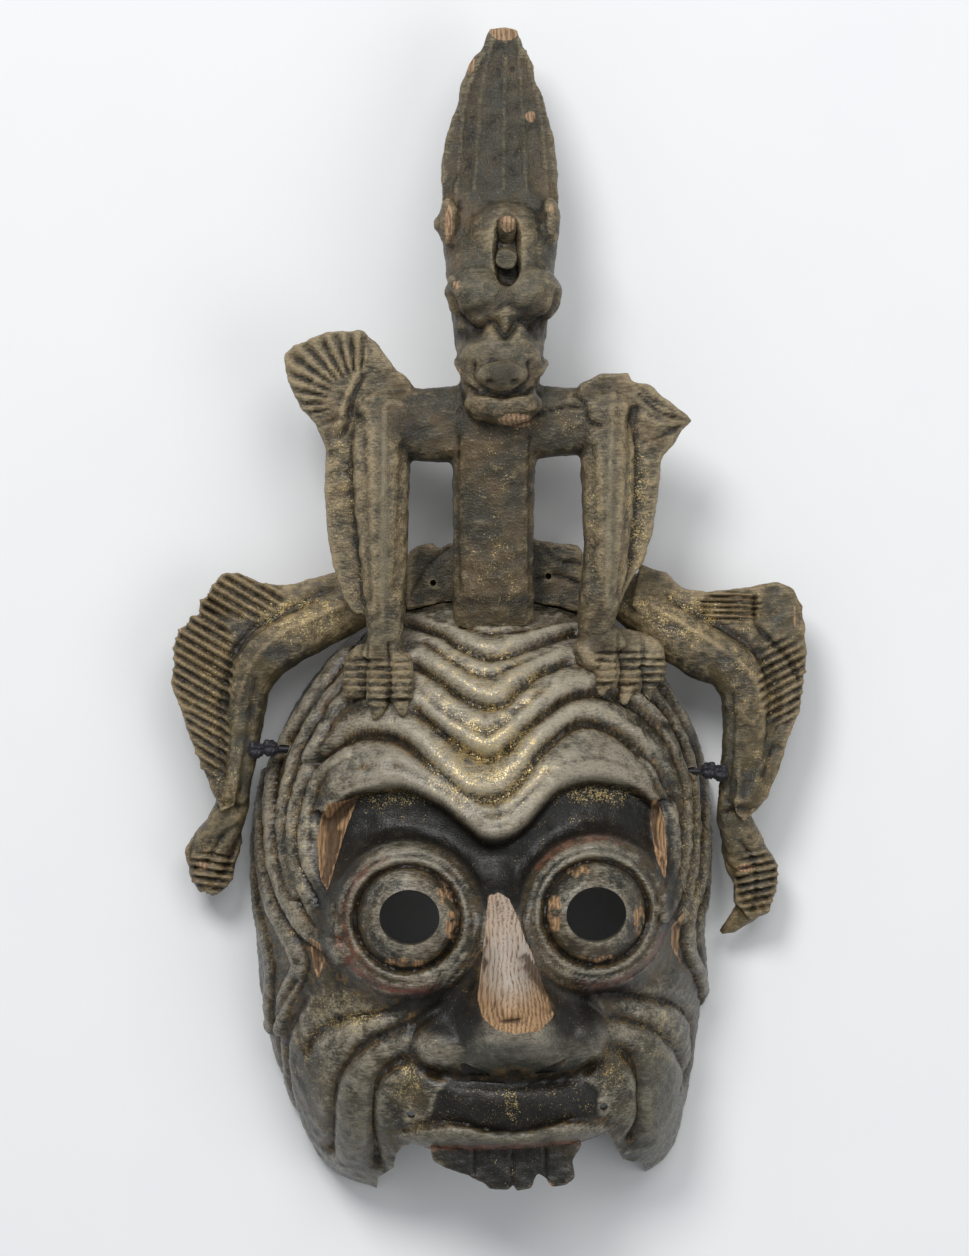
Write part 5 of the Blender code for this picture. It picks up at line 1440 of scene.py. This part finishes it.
def paper_floor(name):
    """Matt studio paper: almost even, pale and without gloss."""
    material, tree, shader = new_material(name)
    place = node(tree, "TexCoord", output="Object")
    cloud = textures(tree, place, {"cloud": (60, 3, 0.55, None)})["cloud"]
    tree.links.new(coated(tree, linear("#eeeff0"), ((cloud, "#f2f2f2"),)), shader.inputs["Base Color"])
    shader.inputs["Roughness"].default_value = 0.9
    return material


def dress(piece, name, material, tones, spacing, where):
    """Gives a piece its tones and material, moves it to the part's frame and hands it over."""
    piece.name = name
    lay_tones(piece, tones, spacing)
    points, _ = skin_arrays(piece.data)
    piece.data.vertices.foreach_set("co", ((points - ROW_ORIGIN) * MM).ravel())
    piece.data.update()
    piece.data.materials.clear()
    piece.data.materials.append(material)
    piece.data.shade_smooth()
    piece.data.set_sharp_from_angle(angle=math.radians(50))
    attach(piece, "root")
    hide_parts(where)


def carve_all():
    """Carves the mask, the dragon and its hind legs, each clear of its neighbours, and lays the ties."""
    mask = carve_mask()
    dragon = fuse("carved_dragon", build_dragon, DRAGON_VOXEL, dragon_relief)
    combine(dragon, fuse("peg_stubs", add_pegs, PEG_VOXEL), "UNION", "FAST")
    combine(dragon, mask_block(), "DIFFERENCE")
    nails = bmesh.new()
    top = BACK_PLATE_HEIGHT[1]
    for x, y in NAIL_HOLES:
        add_rod(nails, (x, y, top - NAIL_DEPTH), (x, y, top + 20), (NAIL_BORE / 2,) * 2, 20)
    combine(dragon, from_bmesh("nail_bores", nails), "DIFFERENCE")
    limbs, ties = [], []
    for side, word in enumerate(SIDES):
        leg = fuse("carved_leg_" + word, hind_leg_builder(side), LEG_VOXEL, hind_relief(side))
        combine(leg, mask_block(), "DIFFERENCE")
        combine(leg, grown(dragon, GAP), "DIFFERENCE")
        socket = bmesh.new()
        add_rod(socket, *tie_path(side), (TIE_BORE / 2,) * 2, 20)
        combine(leg, from_bmesh("tie_socket", socket), "DIFFERENCE")
        limbs.append(leg)
        ties.append(fuse("laid_tie_" + word, tie_builder(side), TIE_VOXEL))
    return mask, dragon, limbs, ties


def light(name, spot, size, power):
    data = bpy.data.lights.new(name, "AREA")
    data.shape = "DISK"
    data.size = size
    data.energy = power
    lamp = bpy.data.objects.new(name, data)
    lamp.location = spot
    lamp.rotation_euler = (Vector(LIGHT_AIM) - Vector(spot)).to_track_quat("-Z", "Y").to_euler()
    bpy.context.scene.collection.objects.link(lamp)


def studio():
    mesh = bmesh.new()
    bmesh.ops.create_grid(mesh, x_segments=1, y_segments=1, size=FLOOR_HALF_WIDTH)
    floor = from_bmesh("floor", mesh)
    floor.location.z = -FLOOR_DROP
    floor.data.materials.append(paper_floor("matt studio paper"))
    world = bpy.data.worlds.new("studio")
    world.use_nodes = True
    sky = world.node_tree.nodes["Background"]
    sky.inputs["Color"].default_value = linear("#e9eef2")
    sky.inputs["Strength"].default_value = SKY_STRENGTH
    bpy.context.scene.world = world
    # Plain tones, so that the colours come out as they are given
    bpy.context.scene.view_settings.view_transform = "Standard"
    for name, spot, size, power in LIGHTS:
        light(name, spot, size, power)
    eye = bpy.data.cameras.new("camera")
    eye.sensor_fit = "VERTICAL"
    eye.sensor_height = SENSOR_HEIGHT
    eye.lens = CAMERA_LENS
    camera = bpy.data.objects.new("camera", eye)
    camera.location = CAMERA_SPOT
    bpy.context.scene.collection.objects.link(camera)
    bpy.context.scene.camera = camera


def main():
    mask, dragon, limbs, ties = carve_all()
    mask_skin = worn_lacquer("worn black lacquer and gold over wood", "#2a2821", "#463d2d", "#a59b88",
                             grain=0.1, grit=0.06, crumbs=0.5, gloss=0.04, rust=0.7)
    dragon_skin = worn_lacquer("gritty weathered lacquer over wood", "#39352a", "#584a35", "#9f8e6f",
                               grain=0.16, grit=0.55, crumbs=1.0, gloss=0.2, rust=0.2)
    leg_skin = worn_lacquer("weathered lacquer with gold over wood", "#35322a", "#50452e", "#968363",
                            grain=0.14, grit=0.3, crumbs=0.8, gloss=0.14, rust=0.4)
    cord_skin = silk_cord("dark silk cord")
    dragon_tones = plain_tones(DRAGON_BARE, DRAGON_GILT, DRAGON_GREY, DRAGON_RUB, DRAGON_BLACK, 0.1)
    leg_tones = plain_tones(LEG_BARE, LEG_GILT, LEG_GREY, LEG_RUB, (), 0.3)
    cord_tones = plain_tones((), (), (), (), (), 0)
    dress(mask, "worn_mask", mask_skin, mask_tones, MASK_CELL, "mask")
    dress(dragon, "worn_dragon", dragon_skin, dragon_tones, DRAGON_VOXEL, "dragon")
    for limb, tie, word in zip(limbs, ties, SIDES):
        dress(limb, "worn_leg_" + word, leg_skin, leg_tones, LEG_VOXEL, "hind_leg_" + word)
        dress(tie, "silk_tie_" + word, cord_skin, cord_tones, TIE_VOXEL, "cord_tie_" + word)
    studio()


main()
